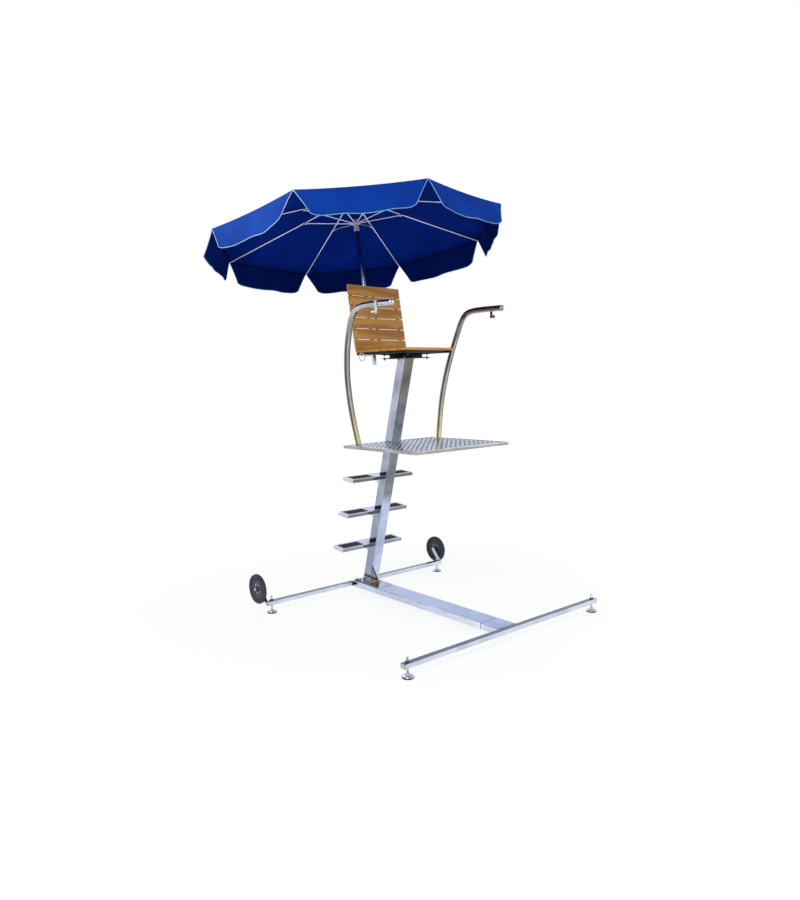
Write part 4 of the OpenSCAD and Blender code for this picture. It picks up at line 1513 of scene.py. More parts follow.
@dataclass
class Deck:
    """Standing deck: a smooth rim round raised chequer plate on two bearers."""

    finishes: Finishes
    rim_w: float = 0.024
    rim_h: float = 0.026
    plate_t: float = 0.005
    pitch: float = 0.026
    bar_l: float = 0.0225
    bar_w: float = 0.0075
    bar_h: float = 0.0016

    def build(self) -> None:
        """Builds the rim and plate and dresses the bearers."""
        dress(["deck_bearers"], self.finishes.bar_y)
        self.low, self.high = corners_of("deck_rim")
        self.mid = (self.low[0] + self.high[0]) / 2
        self.rim()
        self.plate()

    def rim(self) -> None:
        """Builds the rim as one bar carried round the deck with mitred corners.

        At a corner the outline's offset is measured along the sum of the two sides'
        outward directions, which keeps both sides straight.
        """
        h = self.rim_w / 2
        x0, x1 = self.low[0] + h, self.high[0] - h
        y0, y1 = self.low[1] + h, self.high[1] - h
        mast = 0.0503
        z = self.high[2] - self.rim_h / 2
        path = np.array(
            [[self.mid - mast, y1], [x0, y1], [x0, y0], [x1, y0], [x1, y1], [self.mid + mast, y1]]
        )
        out = np.array([[0, 1], [-1, 1], [-1, -1], [1, -1], [1, 1], [0, 1]], float)
        outline = rounded(self.rim_w, self.rim_h, 0.0035, 4)
        flat = path[:, None] + outline[None, :, :1] * out[:, None]
        up = np.broadcast_to(z + outline[None, :, 1:], flat.shape[:2] + (1,))
        piece = Piece("deck_edge", "frame", "stainless", [self.finishes.deck], ["deck_rim"])
        piece.add(loft(np.concatenate([flat, up], -1))).build()

    def lozenges(self, spots: Array, way: Array, top: float) -> Shell:
        """Raised bars of chequer plate.

        Over s along a bar and t across it, both from -1 to 1, the width is
        w (0.22 + 0.78 (1 - s^2)) and the height h (1 - t^2)(1 - s^4).

        Args:
            spots: Middle of each bar, seen from above.
            way: Sign of each bar's turn of 45 degrees.
            top: Height of the plate under them.

        Returns:
            All the bars as one shell, each closed underneath.
        """
        s, t = np.meshgrid(np.linspace(-1, 1, 7), np.linspace(-1, 1, 5), indexing="ij")
        x = s * self.bar_l / 2
        y = t * self.bar_w / 2 * (0.22 + 0.78 * (1 - s**2))
        z = self.bar_h * (1 - t**2) * (1 - s**4) - 0.0003
        bar = np.stack([x, y, z], -1).reshape(-1, 3)
        c = math.sqrt(0.5)
        n = len(spots)
        px = c * (bar[None, :, 0] - way[:, None] * bar[None, :, 1]) + spots[:, :1]
        py = c * (way[:, None] * bar[None, :, 0] + bar[None, :, 1]) + spots[:, 1:]
        pz = np.broadcast_to(bar[None, :, 2] + top, px.shape)
        grid = np.arange(35).reshape(7, 5)
        quads = np.stack(
            [grid[:-1, :-1], grid[1:, :-1], grid[1:, 1:], grid[:-1, 1:]], -1
        ).reshape(-1, 4)
        rim = np.concatenate([grid[:, 0][::-1], grid[0, 1:], grid[1:, -1], grid[-1, 1:-1][::-1]])
        start = np.arange(n) * 35
        points = np.stack([px, py, pz], -1).reshape(-1, 3)
        faces = [(quads[None] + start[:, None, None]).reshape(-1, 4), rim[None] + start[:, None]]
        return Shell(points, faces)

    def plate(self) -> None:
        """Builds the plate with a notch for the mast, and its raised bars."""
        top = self.high[2] - 0.002
        x0, x1 = self.low[0] + self.rim_w - 0.001, self.high[0] - self.rim_w + 0.001
        y0, y1 = self.low[1] + self.rim_w - 0.001, self.high[1] - self.rim_w + 0.001
        mast = Mast.centre_at(top)
        a, b = self.mid - 0.0506, self.mid + 0.0506
        notch = mast[1] - Mast.half() - 0.0005
        outline = np.array(
            [[x0, y0], [x1, y0], [x1, y1], [b, y1], [b, notch], [a, notch], [a, y1], [x0, y1]]
        )
        rings = np.stack([level_loop(outline, z) for z in (top - self.plate_t, top)])
        piece = Piece(
            "deck_chequer_plate", "frame", "chequer_plate", [self.finishes.chequer], ["deck_plate"]
        )
        piece.add(loft(rings))
        n = int((x1 - x0) / self.pitch) + 1
        m = int((y1 - y0) / self.pitch) + 1
        gx, gy = np.meshgrid(np.arange(n), np.arange(m), indexing="ij")
        spots = np.stack(
            [
                (x0 + x1) / 2 + (gx - (n - 1) / 2) * self.pitch,
                (y0 + y1) / 2 + (gy - (m - 1) / 2) * self.pitch,
            ],
            -1,
        ).reshape(-1, 2)
        way = np.where((gx + gy).ravel() % 2 == 0, 1.0, -1.0)
        edge = 0.0105
        keep = (spots[:, 0] > x0 + edge) & (spots[:, 0] < x1 - edge)
        keep &= (spots[:, 1] > y0 + edge) & (spots[:, 1] < y1 - edge)
        keep &= ~((np.abs(spots[:, 0] - self.mid) < 0.062) & (spots[:, 1] > notch - 0.012))
        flange_low, flange_high = corners_of("rail_flanges")
        fy = (flange_low[1] + flange_high[1]) / 2
        for fx in (flange_low[0] + 0.030, flange_high[0] - 0.030):
            keep &= np.hypot(spots[:, 0] - fx, spots[:, 1] - fy) > 0.042
        piece.add(self.lozenges(spots[keep], way[keep], top)).build(50)
        collar = Piece("deck_welds", "frame", "stainless", [self.finishes.weld])
        loop = np.array([[a, y1, top], [a, notch, top], [b, notch, top], [b, y1, top]])
        collar.add(bead(loop, (0, 0, 1), 0.0024, False)).build(60)


@dataclass
class Handrails:
    """Two bowed handrails with their foot flanges and hooks."""

    finishes: Finishes
    radius: float = 0.02415
    rear_in: float = 0.14
    side_in: float = 0.055
    bow: float = 0.152
    rise: float = 1.093
    reach: float = 0.63
    hook_l: float = 0.098
    ball: float = 0.013

    def knots(self, side: Side) -> Array:
        """Points that a rail's centre line passes through, from its foot to its end."""
        low, high = corners_of("deck_rim")
        x, y, z = high[0] - self.side_in, high[1] - self.rear_in, high[2]
        mid = (low[0] + high[0]) / 2
        top, end = x + self.bow, y - self.reach
        points = np.array(
            [
                [x, y, z - 0.002],
                [x + 0.22 * self.bow, y + 0.012, z + 0.16 * self.rise],
                [x + 0.44 * self.bow, y + 0.013, z + 0.33 * self.rise],
                [x + 0.68 * self.bow, y - 0.01, z + 0.52 * self.rise],
                [x + 0.88 * self.bow, y - 0.062, z + 0.71 * self.rise],
                [x + 0.98 * self.bow, y - 0.12, z + 0.855 * self.rise],
                [top, y - 0.16, z + 0.93 * self.rise],
                [top + 0.001, y - 0.212, z + 0.98 * self.rise],
                [top, y - 0.29, z + self.rise],
                [top - 0.003, y - 0.42, z + self.rise + 0.003],
                [top - 0.005, end + 0.04, z + self.rise - 0.001],
                [top - 0.006, end, z + self.rise - 0.003],
            ]
        )
        points[:, 0] = mid + side.value * (points[:, 0] - mid)
        return points

    def build(self) -> None:
        """Builds both rails, their flanges and hooks."""
        f = self.finishes
        flanges = Piece("rail_foot_flanges", "frame", "stainless", [f.cast], ["rail_flanges"])
        hooks = Piece("rail_hook_bars", "frame", "light_metal", [f.hook], ["rail_hooks"])
        for side in Side:
            node = side.on("rail")
            knots = self.knots(side)
            line = spline(knots, 12)
            ahead = unit(line[-1] - line[-2])
            a = np.linspace(0, math.pi / 2, 9)
            cap = line[-1] + ahead * (np.sin(a)[:, None] * self.radius * 0.7)
            lip = line[-1] - ahead * np.array([[0.011], [0.0104], [0.0098], [0.0092], [0.0002]])
            body = line[:-1][np.linalg.norm(line[:-1] - line[-1], axis=1) > 0.0125]
            path = np.vstack([body, lip, cap])
            groove = self.radius + np.array([0, -0.0013, -0.0013, 0.0006, 0.0006])
            radius = np.concatenate(
                [np.full(len(body), self.radius), groove, self.radius * np.cos(a)]
            )
            piece = Piece(f"{node}_tube", "frame", "stainless", [f.rail], [node])
            piece.add(self.rail(path, radius, ahead, len(cap))).build(50)
            self.flange(flanges, knots[0])
            self.hook(hooks, side)
        flanges.build()
        hooks.build()

    def rail(self, path: Array, radius: Array, ahead: Array, caps: int) -> Shell:
        """Carries a circle along the rail, square to it, straight on over its domed end.

        Args:
            path: Centre line.
            radius: Radius at each point.
            ahead: Direction of the end.
            caps: How many points the dome has.

        Returns:
            The rail.
        """
        along = unit(np.gradient(path, axis=0))
        along[-caps - 5 :] = ahead
        along[0] = (0, 0, 1)
        side = unit(np.cross(along, np.array([1.0, 0, 0])))
        rise = np.cross(along, side)
        c, s = circle(40).T[:, None, :, None]
        ring = c * side[:, None] + s * rise[:, None]
        return loft(path[:, None] + radius[:, None, None] * ring)

    def flange(self, piece: Piece, foot: Array) -> None:
        """Adds the ring and weld at a rail's foot."""
        r = self.radius
        ring = [(r + 0.0012, 0.0), (r + 0.006, 0.0), (r + 0.006, 0.0045), (r + 0.0048, 0.006)]
        ring += [(r + 0.0026, 0.0066), (r + 0.0006, 0.009), (r - 0.0004, 0.009)]
        piece.add(revolve(ring, foot, (0, 0, 1), 48, True))

    def hook(self, piece: Piece, side: Side) -> None:
        """Adds the flat hook bar on a rail's outer side, with its stub and ball."""
        low, high = corners_of("rail_hooks")
        s, length = side.value, self.hook_l
        face = side.outer(corners_of(side.on("rail"))) - s * 0.0018
        y, foot = (low[1] + high[1]) / 2, high[2] - length
        bar = Place(np.array([face, y, (high[2] + foot) / 2]), facing(s))
        piece.add(prism(rounded(0.025, length, 0.004, 5), bar, 0.005, 0.0012))
        end = side.outer((low, high)) - s * 0.045
        a = np.linspace(-1.09, math.pi / 2, 16)
        ball = np.stack([self.ball * np.cos(a), 0.032 + self.ball * np.sin(a)], -1)
        stub = [[0, -0.001], [0.0085, -0.001], [0.0082, 0.001], [0.006, 0.0025], [0.006, 0.018]]
        profile = np.vstack([stub, ball])
        profile[-1, 0] = 0
        piece.add(revolve(profile, np.array([end, y, foot + 0.014]), (s, 0, 0), 32))


@dataclass
class Swivel:
    """Black turntable between two plates, with corner bolts."""

    finishes: Finishes
    side: float = 0.29
    thick: float = 0.006
    bolt: float = 0.125
    drum: float = 0.138
    round: float = 0.01

    def build(self) -> None:
        """Builds the fixed lower part and the turning upper part."""
        low, high = corners_of("swivel_base")
        _, top_high = corners_of("swivel_top")
        x, y = (low[0] + high[0]) / 2, (low[1] + high[1]) / 2
        base_z = corners_of("mast")[1][2]
        plate = rounded(self.side, self.side, self.round, 6)
        centre = np.array([x, y, base_z])
        fixed = Piece(
            "swivel_lower", "frame", "black_steel", [self.finishes.black, self.finishes.bolt],
            ["swivel_base"],
        )
        fixed.add(prism(plate, Place(centre, np.eye(3)), self.thick, 0.001))
        t, top = self.thick, high[2] - base_z
        r, waist = self.drum, self.drum - 0.0025
        drum = [
            (0, t - 0.001), (waist, t - 0.001), (r, t + 0.002), (r, t + 0.0105), (waist, t + 0.0115)
        ]
        drum += [
            (waist, t + 0.0145), (r, t + 0.0155), (r, top - 0.002), (waist, top - 0.0006),
            (0, top - 0.0006),
        ]
        fixed.add(revolve(drum, centre, (0, 0, 1), 96))
        turning = Piece(
            "swivel_upper", "seat", "black_steel", [self.finishes.black, self.finishes.bolt],
            ["swivel_top"],
        )
        upper = Place(np.array([x, y, top_high[2] - self.thick]), turned(Seat.turn, "z"))
        turning.add(prism(plate, upper, self.thick, 0.001))
        down = np.diag([1.0, -1.0, -1.0])
        for sx in (-1, 1):
            for sy in (-1, 1):
                spot = np.array([sx * self.bolt, sy * self.bolt, 0])
                shank = [
                    (0, -0.012), (0.0034, -0.012), (0.004, -0.011), (0.004, 0.0108),
                    (0.0034, 0.012), (0, 0.012),
                ]
                fixed.add(revolve(shank, centre + spot, (0, 0, 1), 16, finish=1))
                shells = nut(Place(centre + spot, down), 0.013, 0.0065, 0.009, False)
                shells += nut(
                    Place(centre + spot + [0, 0, self.thick], np.eye(3)), 0.013, 0.0055, 0.009,
                    False,
                )
                head = nut(upper.step(spot, down), 0.013, 0.0045, 0.0085)
                for shell in shells + head:
                    shell.finish = 1
                fixed.add(*shells)
                turning.add(*head)
        fixed.build()
        turning.build()


@dataclass
class Seat:
    """Slatted seat and backrest on their steel frame, with the umbrella's socket."""

    finishes: Finishes
    turn = 9.0
    recline = 8.3
    width: float = 0.64
    depth: float = 0.545
    back: float = 0.548
    slats: int = 6
    thick: float = 0.02
    gap: float = 0.007
    upright: float = 0.282
    plug: float = 0.0062
    pole_r: float = 0.017
    back_in: float = 0.006
    pole_behind: float = 0.102

    @staticmethod
    def level() -> Place:
        """Frame of the seat: on the swivel's axis, at the seat top, turned with it."""
        low, high = corners_of("swivel_base")
        top = corners_of("seat_slats")[1][2]
        return Place(
            np.array([(low[0] + high[0]) / 2, (low[1] + high[1]) / 2, top]), turned(Seat.turn, "z")
        )

    @staticmethod
    def reclined(behind: float) -> Place:
        """Frame of what leans back, from a point on the seat top behind the axis."""
        return Seat.level().step((0, behind, 0), turned(-Seat.recline, "x"))

    @staticmethod
    def pole() -> Place:
        """Frame of the umbrella's pole, level with the seat top."""
        return Seat.reclined(Seat.depth / 2 - Seat.back_in + Seat.pole_behind)

    def build(self) -> None:
        """Builds the slats, plugs, socket, pole and ring, and dresses the frame."""
        dress(["seat_frame"], self.finishes.dark_frame)
        self.slatting()
        self.socket()
        self.pole_tube()
        self.pull_ring()

    def board(self, place: Place, wide: float, tone: float) -> Shell:
        """One slat along the frame's x axis, its long edges and ends rounded."""
        along = place.step((-self.width / 2, 0, 0), facing(1))
        return prism(rounded(wide, self.thick, 0.0032, 5), along, self.width, 0.0022, 0, tone)

    def slatting(self) -> None:
        """Builds the slats of the seat and the backrest with their wooden plugs."""
        rng = np.random.default_rng(7)
        level, back = self.level(), self.reclined(self.depth / 2 - self.back_in)
        pitch = (self.depth + self.gap) / self.slats
        wide = pitch - self.gap
        seat = Piece("seat_boards", "seat", "teak", [self.finishes.teak], ["seat_slats"])
        rest = Piece("back_boards", "seat", "teak", [self.finishes.teak], ["back_slats"])
        for i in range(self.slats):
            y = -self.depth / 2 + i * pitch + wide / 2
            place = level.step((0, y, -self.thick / 2))
            seat.add(self.board(place, wide, rng.random()))
            self.plugs(seat, place, wide, rng)
        pitch = (self.back + self.gap) / self.slats
        wide = pitch - self.gap
        stand = np.array([[1, 0, 0], [0, 0, -1], [0, 1, 0]], float)
        for i in range(self.slats):
            place = back.step((0, 0, 0.004 + i * pitch + wide / 2), stand)
            rest.add(self.board(place, wide, rng.random()))
            self.plugs(rest, place, wide, rng)
        seat.build()
        rest.build()

    def plugs(self, piece: Piece, place: Place, wide: float, rng: np.random.Generator) -> None:
        """Adds the plugs over a slat's screws, two at each outer upright.

        Args:
            piece: The piece that they join.
            place: The slat's frame, with its face towards z.
            wide: The slat's width.
            rng: Gives each plug a tone of its own.
        """
        r, top = self.plug, self.thick / 2
        button = [
            (0, top - 0.002), (r, top - 0.002), (r, top + 0.0002), (r * 0.9, top + 0.0006),
            (0, top + 0.0008),
        ]
        for x in (-self.upright, self.upright):
            for y in (-wide * 0.24, wide * 0.24):
                shell = revolve(button, place.put([x, y, 0]), place.axes[:, 2], 20)
                shell.tone = 0.25 * float(rng.random())
                piece.add(shell)

    def socket(self) -> None:
        """Builds the pole socket under the seat and its collar on the backrest."""
        piece = Piece(
            "pole_socket_tube", "seat", "stainless", [self.finishes.cast], ["pole_socket"]
        )
        pole = self.pole()
        axis = pole.axes[:, 2]
        r = self.pole_r
        lower = [
            (r, -0.116), (r + 0.0015, -0.116), (r + 0.002, -0.1145), (r + 0.002, -0.012),
            (r + 0.004, -0.01),
        ]
        lower += [(r + 0.004, -0.0055), (r + 0.0025, -0.004), (r, -0.004)]
        piece.add(revolve(lower, pole.origin, axis, 40, True))
        collar = [
            (r, 0.3), (r + 0.004, 0.3), (r + 0.005, 0.3015), (r + 0.005, 0.3585), (r + 0.004, 0.36),
            (r, 0.36),
        ]
        piece.add(revolve(collar, pole.origin, axis, 40, True))
        deep = self.pole_behind * math.cos(math.radians(self.recline)) - 0.022 - r
        flat = np.array([[1, 0, 0], [0, 0, 1], [0, -1, 0]], float)
        arm = pole.step((0, -r + 0.0005, 0.33), flat)
        piece.add(prism(rounded(0.0178, 0.034, 0.003), arm, deep + 0.0015, 0.0008))
        knob = pole.step((r + 0.004, 0, 0.33), facing(1))
        stem = [
            (0, 0), (0.004, 0), (0.004, 0.012), (0.011, 0.0125), (0.0125, 0.015), (0.0125, 0.022),
            (0.011, 0.024), (0, 0.0245),
        ]
        piece.add(revolve(stem, knob.origin, knob.axes[:, 2], 20))
        low, _ = corners_of("seat_frame")
        level = self.level()
        y0 = self.depth / 2 - 0.06 + 0.0102
        y1 = self.depth / 2 - self.back_in + self.pole_behind - 0.006
        mid_z = low[2] + 0.01 - level.origin[2]
        foot = level.step((0, y1, mid_z), flat)
        piece.add(prism(rounded(0.036, 0.02, 0.003), foot, y1 - y0, 0.0008))
        piece.build()

    def pole_tube(self) -> None:
        """Builds the pole, with the joint between its two tubes."""
        pole, r = self.pole(), self.pole_r
        pipe = Piece(
            "umbrella_pole_tube", "seat", "light_metal", [self.finishes.pole], ["umbrella_pole"]
        )
        reach = Umbrella.lift / math.cos(math.radians(self.recline)) + Umbrella.height - 0.06
        tubing = [
            (0, -0.11), (r - 0.002, -0.11), (r - 0.0002, -0.1085), (r - 0.0002, 0.62),
            (r - 0.0008, 0.6205),
        ]
        tubing += [(r - 0.0008, 0.6215), (r - 0.0002, 0.622), (r - 0.0002, reach), (0, reach)]
        pipe.add(revolve(tubing, pole.origin, pole.axes[:, 2], 40)).build()

    def pull_ring(self) -> None:
        """Builds the pull ring that hangs under the seat's rear corner."""
        low, high = corners_of("pull_ring")
        wire = 0.004
        big = (high[2] - low[2]) / 2 - wire
        profile = wire * circle(24) + [big, 0]
        piece = Piece("seat_pull_ring", "seat", "stainless", [self.finishes.cast], ["pull_ring"])
        piece.add(revolve(profile, (low + high) / 2, self.level().axes[:, 0], 64, True)).build(60)


@dataclass
class Umbrella:
    """Eight-sided umbrella: one sagging cloth, hanging flaps, piping, ribs and struts."""

    finishes: Finishes
    radius: float = 1.264
    height: float = 0.335
    lift: float = 1.0123
    flap: float = 0.208
    inset: float = 0.104
    flare: float = 7.9
    spin: float = 1.2
    nod: float = 0.9
    roll: float = 1.7
    sides: int = 8
    sag: float = 0.017
    hem: float = 0.007
    drop: float = 0.234
    knuckle: float = 0.461
    gusts: tuple[tuple[float, float, float], ...] = (
        *((0.0, 0.0, 0.0),) * 3,
        (0.0, 0.075, 0.0),
        (0.0, 0.0, 0.16),
        (0.0, 0.0, 0.0),
        (0.0, 0.024, 0.0),
        (-0.05, 0.0, 0.0),
    )
    rib: float = 0.006
    strut: float = 0.0045

    def __post_init__(self) -> None:
        """Finds two frames: the pole's at the crown, and the cloth's, tipped about the crown
        and with its origin in the rim's plane."""
        pole = Seat.pole()
        rise = self.lift / math.cos(math.radians(Seat.recline)) + self.height
        self.crown = pole.step((0, 0, rise), turned(self.spin, "z"))
        tip = turned(self.nod, "x") @ turned(self.roll, "y") @ turned(self.spin, "z")
        self.place = pole.step((0, 0, rise), tip).step((0, 0, -self.height))

    def build(self) -> None:
        """Builds the cloth, its piping and the frame under it."""
        piping = self.piping()
        canopy = self.canopy()
        flaps = self.flaps()
        self.ribs()
        self.hubs()

    def rib_angle(self, k: int) -> float:
        """Angle of a rib in the umbrella's frame."""
        return (k + 0.5) * TAU / self.sides

    def edge_point(self, gore: Array, t: Array, u: Array) -> Array:
        """Point on the cloth of a gore, in the umbrella's frame.

        t runs from one rib to the next and u from the crown to the rim. The point lies on
        the straight line between the two ribs, and sinks by
        sag * 4t(1-t) * u sqrt(1.25 - u), while the rim is drawn in by hem * 4t(1-t) * u^6.

        Args:
            gore: Number of the gore, from 0.
            t: Share of the way across the gore.
            u: Share of the way from the crown to the rim.

        Returns:
            The points.
        """
        a = (gore - 0.5) * TAU / self.sides
        b = (gore + 0.5) * TAU / self.sides
        r = self.radius * u
        x = r * ((1 - t) * np.cos(a) + t * np.cos(b))
        y = r * ((1 - t) * np.sin(a) + t * np.sin(b))
        bow = 4 * t * (1 - t)
        z = self.height * (1 - u) - self.sag * bow * u * np.sqrt(1.25 - u) * 1.6
        mid = gore * TAU / self.sides
        pull = self.hem * bow * u**6
        z = z + pull * 0.3
        crease = 0.0011 * np.sin(u * 46 + gore * 1.7) * np.exp(-((1 - bow) * 3.2)) * (1 - bow) * u
        return np.stack([x - pull * np.cos(mid), y - pull * np.sin(mid), z + crease], -1)

    def canopy(self) -> bpy.types.Object:
        """Builds the top cloth as one sheet round all eight ribs."""
        across_n, down_n = 14, 30
        u = np.linspace(0.016, 1.0, down_n)[:, None]
        around = np.arange(self.sides * across_n)
        gore, t = around // across_n, (around % across_n) / across_n
        points = self.edge_point(gore[None] * 1.0, t[None], u)
        m, k = points.shape[:2]
        index = np.arange(m * k).reshape(m, k)
        quads = np.stack(
            [index[:-1], index[1:], np.roll(index[1:], -1, 1), np.roll(index[:-1], -1, 1)], -1
        )
        uv = points.reshape(-1, 3)[:, :2]
        shell = Shell(self.place.put(points.reshape(-1, 3)), [quads.reshape(-1, 4)], 0, uv)
        piece = Piece(
            "canopy_cloth", "seat", "blue_cloth",
            [self.finishes.cloth_out, self.finishes.cloth_in], ["canopy"],
        )
        made = piece.add(shell).build(24)
        self.thicken(made, 0.0014)
        seams = Piece("canopy_seam_tapes", "seat", "blue_cloth", [self.finishes.cloth_in])
        for k in range(self.sides):
            s = np.linspace(0.035, 0.985, 40)
            line = self.edge_point(np.full(40, k * 1.0), np.zeros(40), s)
            over = tangent(self.rib_angle(k - 1))
            tape = np.stack(
                [
                    line + over * x + np.array([0, 0, z])
                    for x, z in (
                        (-0.013, -0.0034), (0.013, -0.0034), (0.013, -0.0024), (-0.013, -0.0024)
                    )
                ],
                1,
            )
            seams.add(loft(self.place.put(tape)))
        seams.build()
        return made

    def thicken(self, piece: bpy.types.Object, depth: float) -> None:
        """Gives a sheet its thickness inwards, with its second finish inside: the darker inside
        colour, which is partly painted shade.
        """
        solid = piece.modifiers.new("thickness", "SOLIDIFY")
        solid.thickness = depth
        solid.offset = -1
        solid.material_offset = 1
        solid.use_even_offset = True

    def flap_point(self, gore: Array, s: Array, v: Array) -> Array:
        """Point on a hanging flap, in the umbrella's frame.

        s runs from -1 to 1 along the flap and v from the rim down. The flap leans out by
        its flare, narrows by its inset, and its depth shrinks a little at its ends. It
        billows out by a low arch and carries soft folds that grow towards its lower edge.
        A gust leans its two ends out by different amounts and curls up its second end.

        Args:
            gore: Number of the gore.
            s: Place along the flap.
            v: Share of its depth.

        Returns:
            The points.
        """
        top = self.edge_point(gore, (s + 1) / 2, np.ones_like(s))
        mid = gore * TAU / self.sides
        along = np.stack([-np.sin(mid), np.cos(mid), np.zeros_like(mid)], -1)
        out = np.stack([np.cos(mid), np.sin(mid), np.zeros_like(mid)], -1)
        corner = np.clip((np.abs(s) - 0.78) / 0.22, 0, 1)
        slope = math.radians(self.flare)
        first, second, curl = np.moveaxis(np.array(self.gusts)[gore.astype(int)], -1, 0)
        gust = first * (1 - s) / 2 + second * (1 + s) / 2
        curl = curl * np.clip((s - 0.3) / 0.7, 0, 1) ** 1.5
        fall = self.flap * v * (1 - 0.1 * corner**2.5 - curl) * math.cos(slope)
        narrow = self.inset * (1.08 * v - 0.08 * v**3)
        seed = gore * 2.1
        fold = 0.0045 * np.sin(s * (5.5 + np.sin(seed)) + seed) + 0.0025 * np.sin(s * 13 + seed * 3)
        puff = 0.006 * np.sin(math.pi * v) * (1 - s**2) + fold * v**1.4
        puff = puff + self.flap * v * math.sin(slope) + gust * v**1.2
        wave = 0.0035 * v * np.sin(s * 7 + seed * 1.3)
        shift = -s * narrow
        return (
            top
            + along * shift[..., None]
            + out * (puff + 0.0002)[..., None]
            + np.array([0, 0, -1.0]) * (fall + wave - 0.003 * v)[..., None]
        )

    def flaps(self) -> bpy.types.Object:
        """Builds the eight flaps."""
        piece = Piece(
            "flap_cloth", "seat", "blue_cloth",
            [self.finishes.cloth_out, self.finishes.flap_in], ["valance"],
        )
        n, m = 41, 11
        s, v = np.meshgrid(np.linspace(-1, 1, n), np.linspace(0, 1, m), indexing="ij")
        for k in range(self.sides):
            points = self.flap_point(np.full(s.shape, float(k)), s, v)
            index = np.arange(n * m).reshape(n, m)
            quads = np.stack([index[:-1, :-1], index[:-1, 1:], index[1:, 1:], index[1:, :-1]], -1)
            uv = np.stack([s * 0.48 + k, -v * self.flap], -1).reshape(-1, 2)
            piece.add(Shell(self.place.put(points.reshape(-1, 3)), [quads.reshape(-1, 4)], 0, uv))
        made = piece.build(60)
        self.thicken(made, 0.0012)
        return made

    def piping(self) -> bpy.types.Object:
        """Builds the piping round each flap's free edges."""
        piece = Piece("flap_piping", "seat", "blue_cloth", [self.finishes.piping])
        t = np.linspace(0, 1, 12)
        run = np.linspace(-1, 1, 61)[1:-1]
        s = np.concatenate([np.full(12, -1.0), run, np.full(12, 1.0)])
        v = np.concatenate([t, np.ones(len(run)), t[::-1]])
        for k in range(self.sides):
            line = self.flap_point(np.full(s.shape, float(k)), s, v)
            out = self.place.axes @ radial(k * TAU / self.sides)
            piece.add(tube(self.place.put(line), 0.0031, out, 8))
        return piece.build(60)

    def rib_line(self, k: int, share: Array) -> Array:
        """Centre line of a rib: it runs straight under the cloth's seam.

        Args:
            k: Number of the rib.
            share: Places along it as shares of the umbrella's radius.

        Returns:
            The points in the umbrella's frame.
        """
        a = self.rib_angle(k)
        slope = math.atan(self.height / self.radius)
        below = (self.rib + 0.0005) / math.cos(slope) + 0.00305
        r = self.radius * share
        z = self.height * (1 - share) - below
        return np.stack([r * math.cos(a), r * math.sin(a), z], -1)

    def ribs(self) -> None:
        """Builds the ribs with their tips and knuckles, and the struts."""
        f = self.finishes
        rods = Piece(
            "umbrella_rib_rods", "seat", "light_metal", [f.shade_metal, f.knuckle],
            ["umbrella_ribs"],
        )
        struts = Piece(
            "umbrella_strut_rods", "seat", "light_metal", [f.shade_metal], ["umbrella_struts"]
        )
        a = np.linspace(0, math.pi, 15)
        ball = np.stack([0.0125 * np.sin(a) ** 0.8, -0.0125 * np.cos(a)], -1)
        rivet = [(0, 0.0115), (0.0045, 0.0115), (0.0045, 0.0142), (0.003, 0.0152), (0, 0.0155)]
        ferrule = [
            (0, 0), (0.0072, 0), (0.0074, 0.001), (0.0074, 0.017), (0.006, 0.021), (0, 0.0225)
        ]
        size = np.array([self.strut * 1.2, self.strut, self.strut, self.strut * 1.3]) - 0.0002
        for k in range(self.sides):
            line = self.place.put(self.rib_line(k, np.linspace(0.03, 0.9935, 24)))
            rods.add(tube(line, self.rib - 0.0002, self.place.axes[:, 2], 12))
            tip = self.place.put(self.rib_line(k, np.array([0.975, 0.9935])))
            rods.add(revolve(ferrule, tip[0], unit(tip[1] - tip[0]), 18, finish=1))
            joint = self.rib_line(k, np.array([self.knuckle / self.radius]))[0]
            end = self.place.put(joint - np.array([0, 0, 0.008]))
            swing = self.place.axes @ tangent(self.rib_angle(k))
            rods.add(revolve(ball, end, swing, 24, finish=1))
            for s in (-1, 1):
                rods.add(revolve(rivet, end, s * swing, 14))
            start = self.crown.put(0.0358 * radial(self.rib_angle(k)) + [0, 0, 0.004 - self.drop])
            way = unit(end - start)
            ends = np.stack([start, start + way * 0.014, end - way * 0.026, end - way * 0.0128])
            struts.add(tube(ends, size, self.place.axes[:, 2], 12))
        rods.build(45)
        struts.build(45)

    def hubs(self) -> None:
        """Builds the crown hub and the runner on the pole, and the low cap over the cloth."""
        f = self.finishes
        piece = Piece(
            "umbrella_hub_castings", "seat", "light_metal", [f.knuckle, f.shade_metal],
            ["umbrella_hubs"],
        )
        axis, origin = self.crown.axes[:, 2], self.crown.origin
        z = -0.06
        crown = [
            (0, z), (0.03, z), (0.0325, z + 0.002), (0.034, z + 0.005), (0.034, z + 0.015),
            (0.029, z + 0.0165),
        ]
        crown += [
            (0.029, z + 0.0225), (0.034, z + 0.024), (0.034, z + 0.039), (0.031, z + 0.044),
            (0, z + 0.044),
        ]
        piece.add(revolve(crown, origin, axis, 48))
        z = -self.drop
        r = 0.0172
        runner = [
            (r, z - 0.07), (0.021, z - 0.07), (0.023, z - 0.068), (0.0225, z - 0.022),
            (0.0225, z - 0.014),
        ]
        runner += [
            (0.026, z - 0.012), (0.034, z - 0.01), (0.034, z - 0.003), (0.0295, z - 0.0015),
            (0.0295, z + 0.0035),
        ]
        runner += [
            (0.034, z + 0.005), (0.034, z + 0.012), (0.024, z + 0.0135), (0.023, z + 0.03),
            (0.0215, z + 0.032), (r, z + 0.032),
        ]
        piece.add(revolve(runner, origin, axis, 48, True))
        for k in range(self.sides):
            a = self.rib_angle(k)
            for height in (-0.0405, 0.001 - self.drop):
                spot = radial(a) * 0.0275 + np.array([0, 0, height - 0.004])
                lug = self.crown.step(spot, turned(math.degrees(a), "z"))
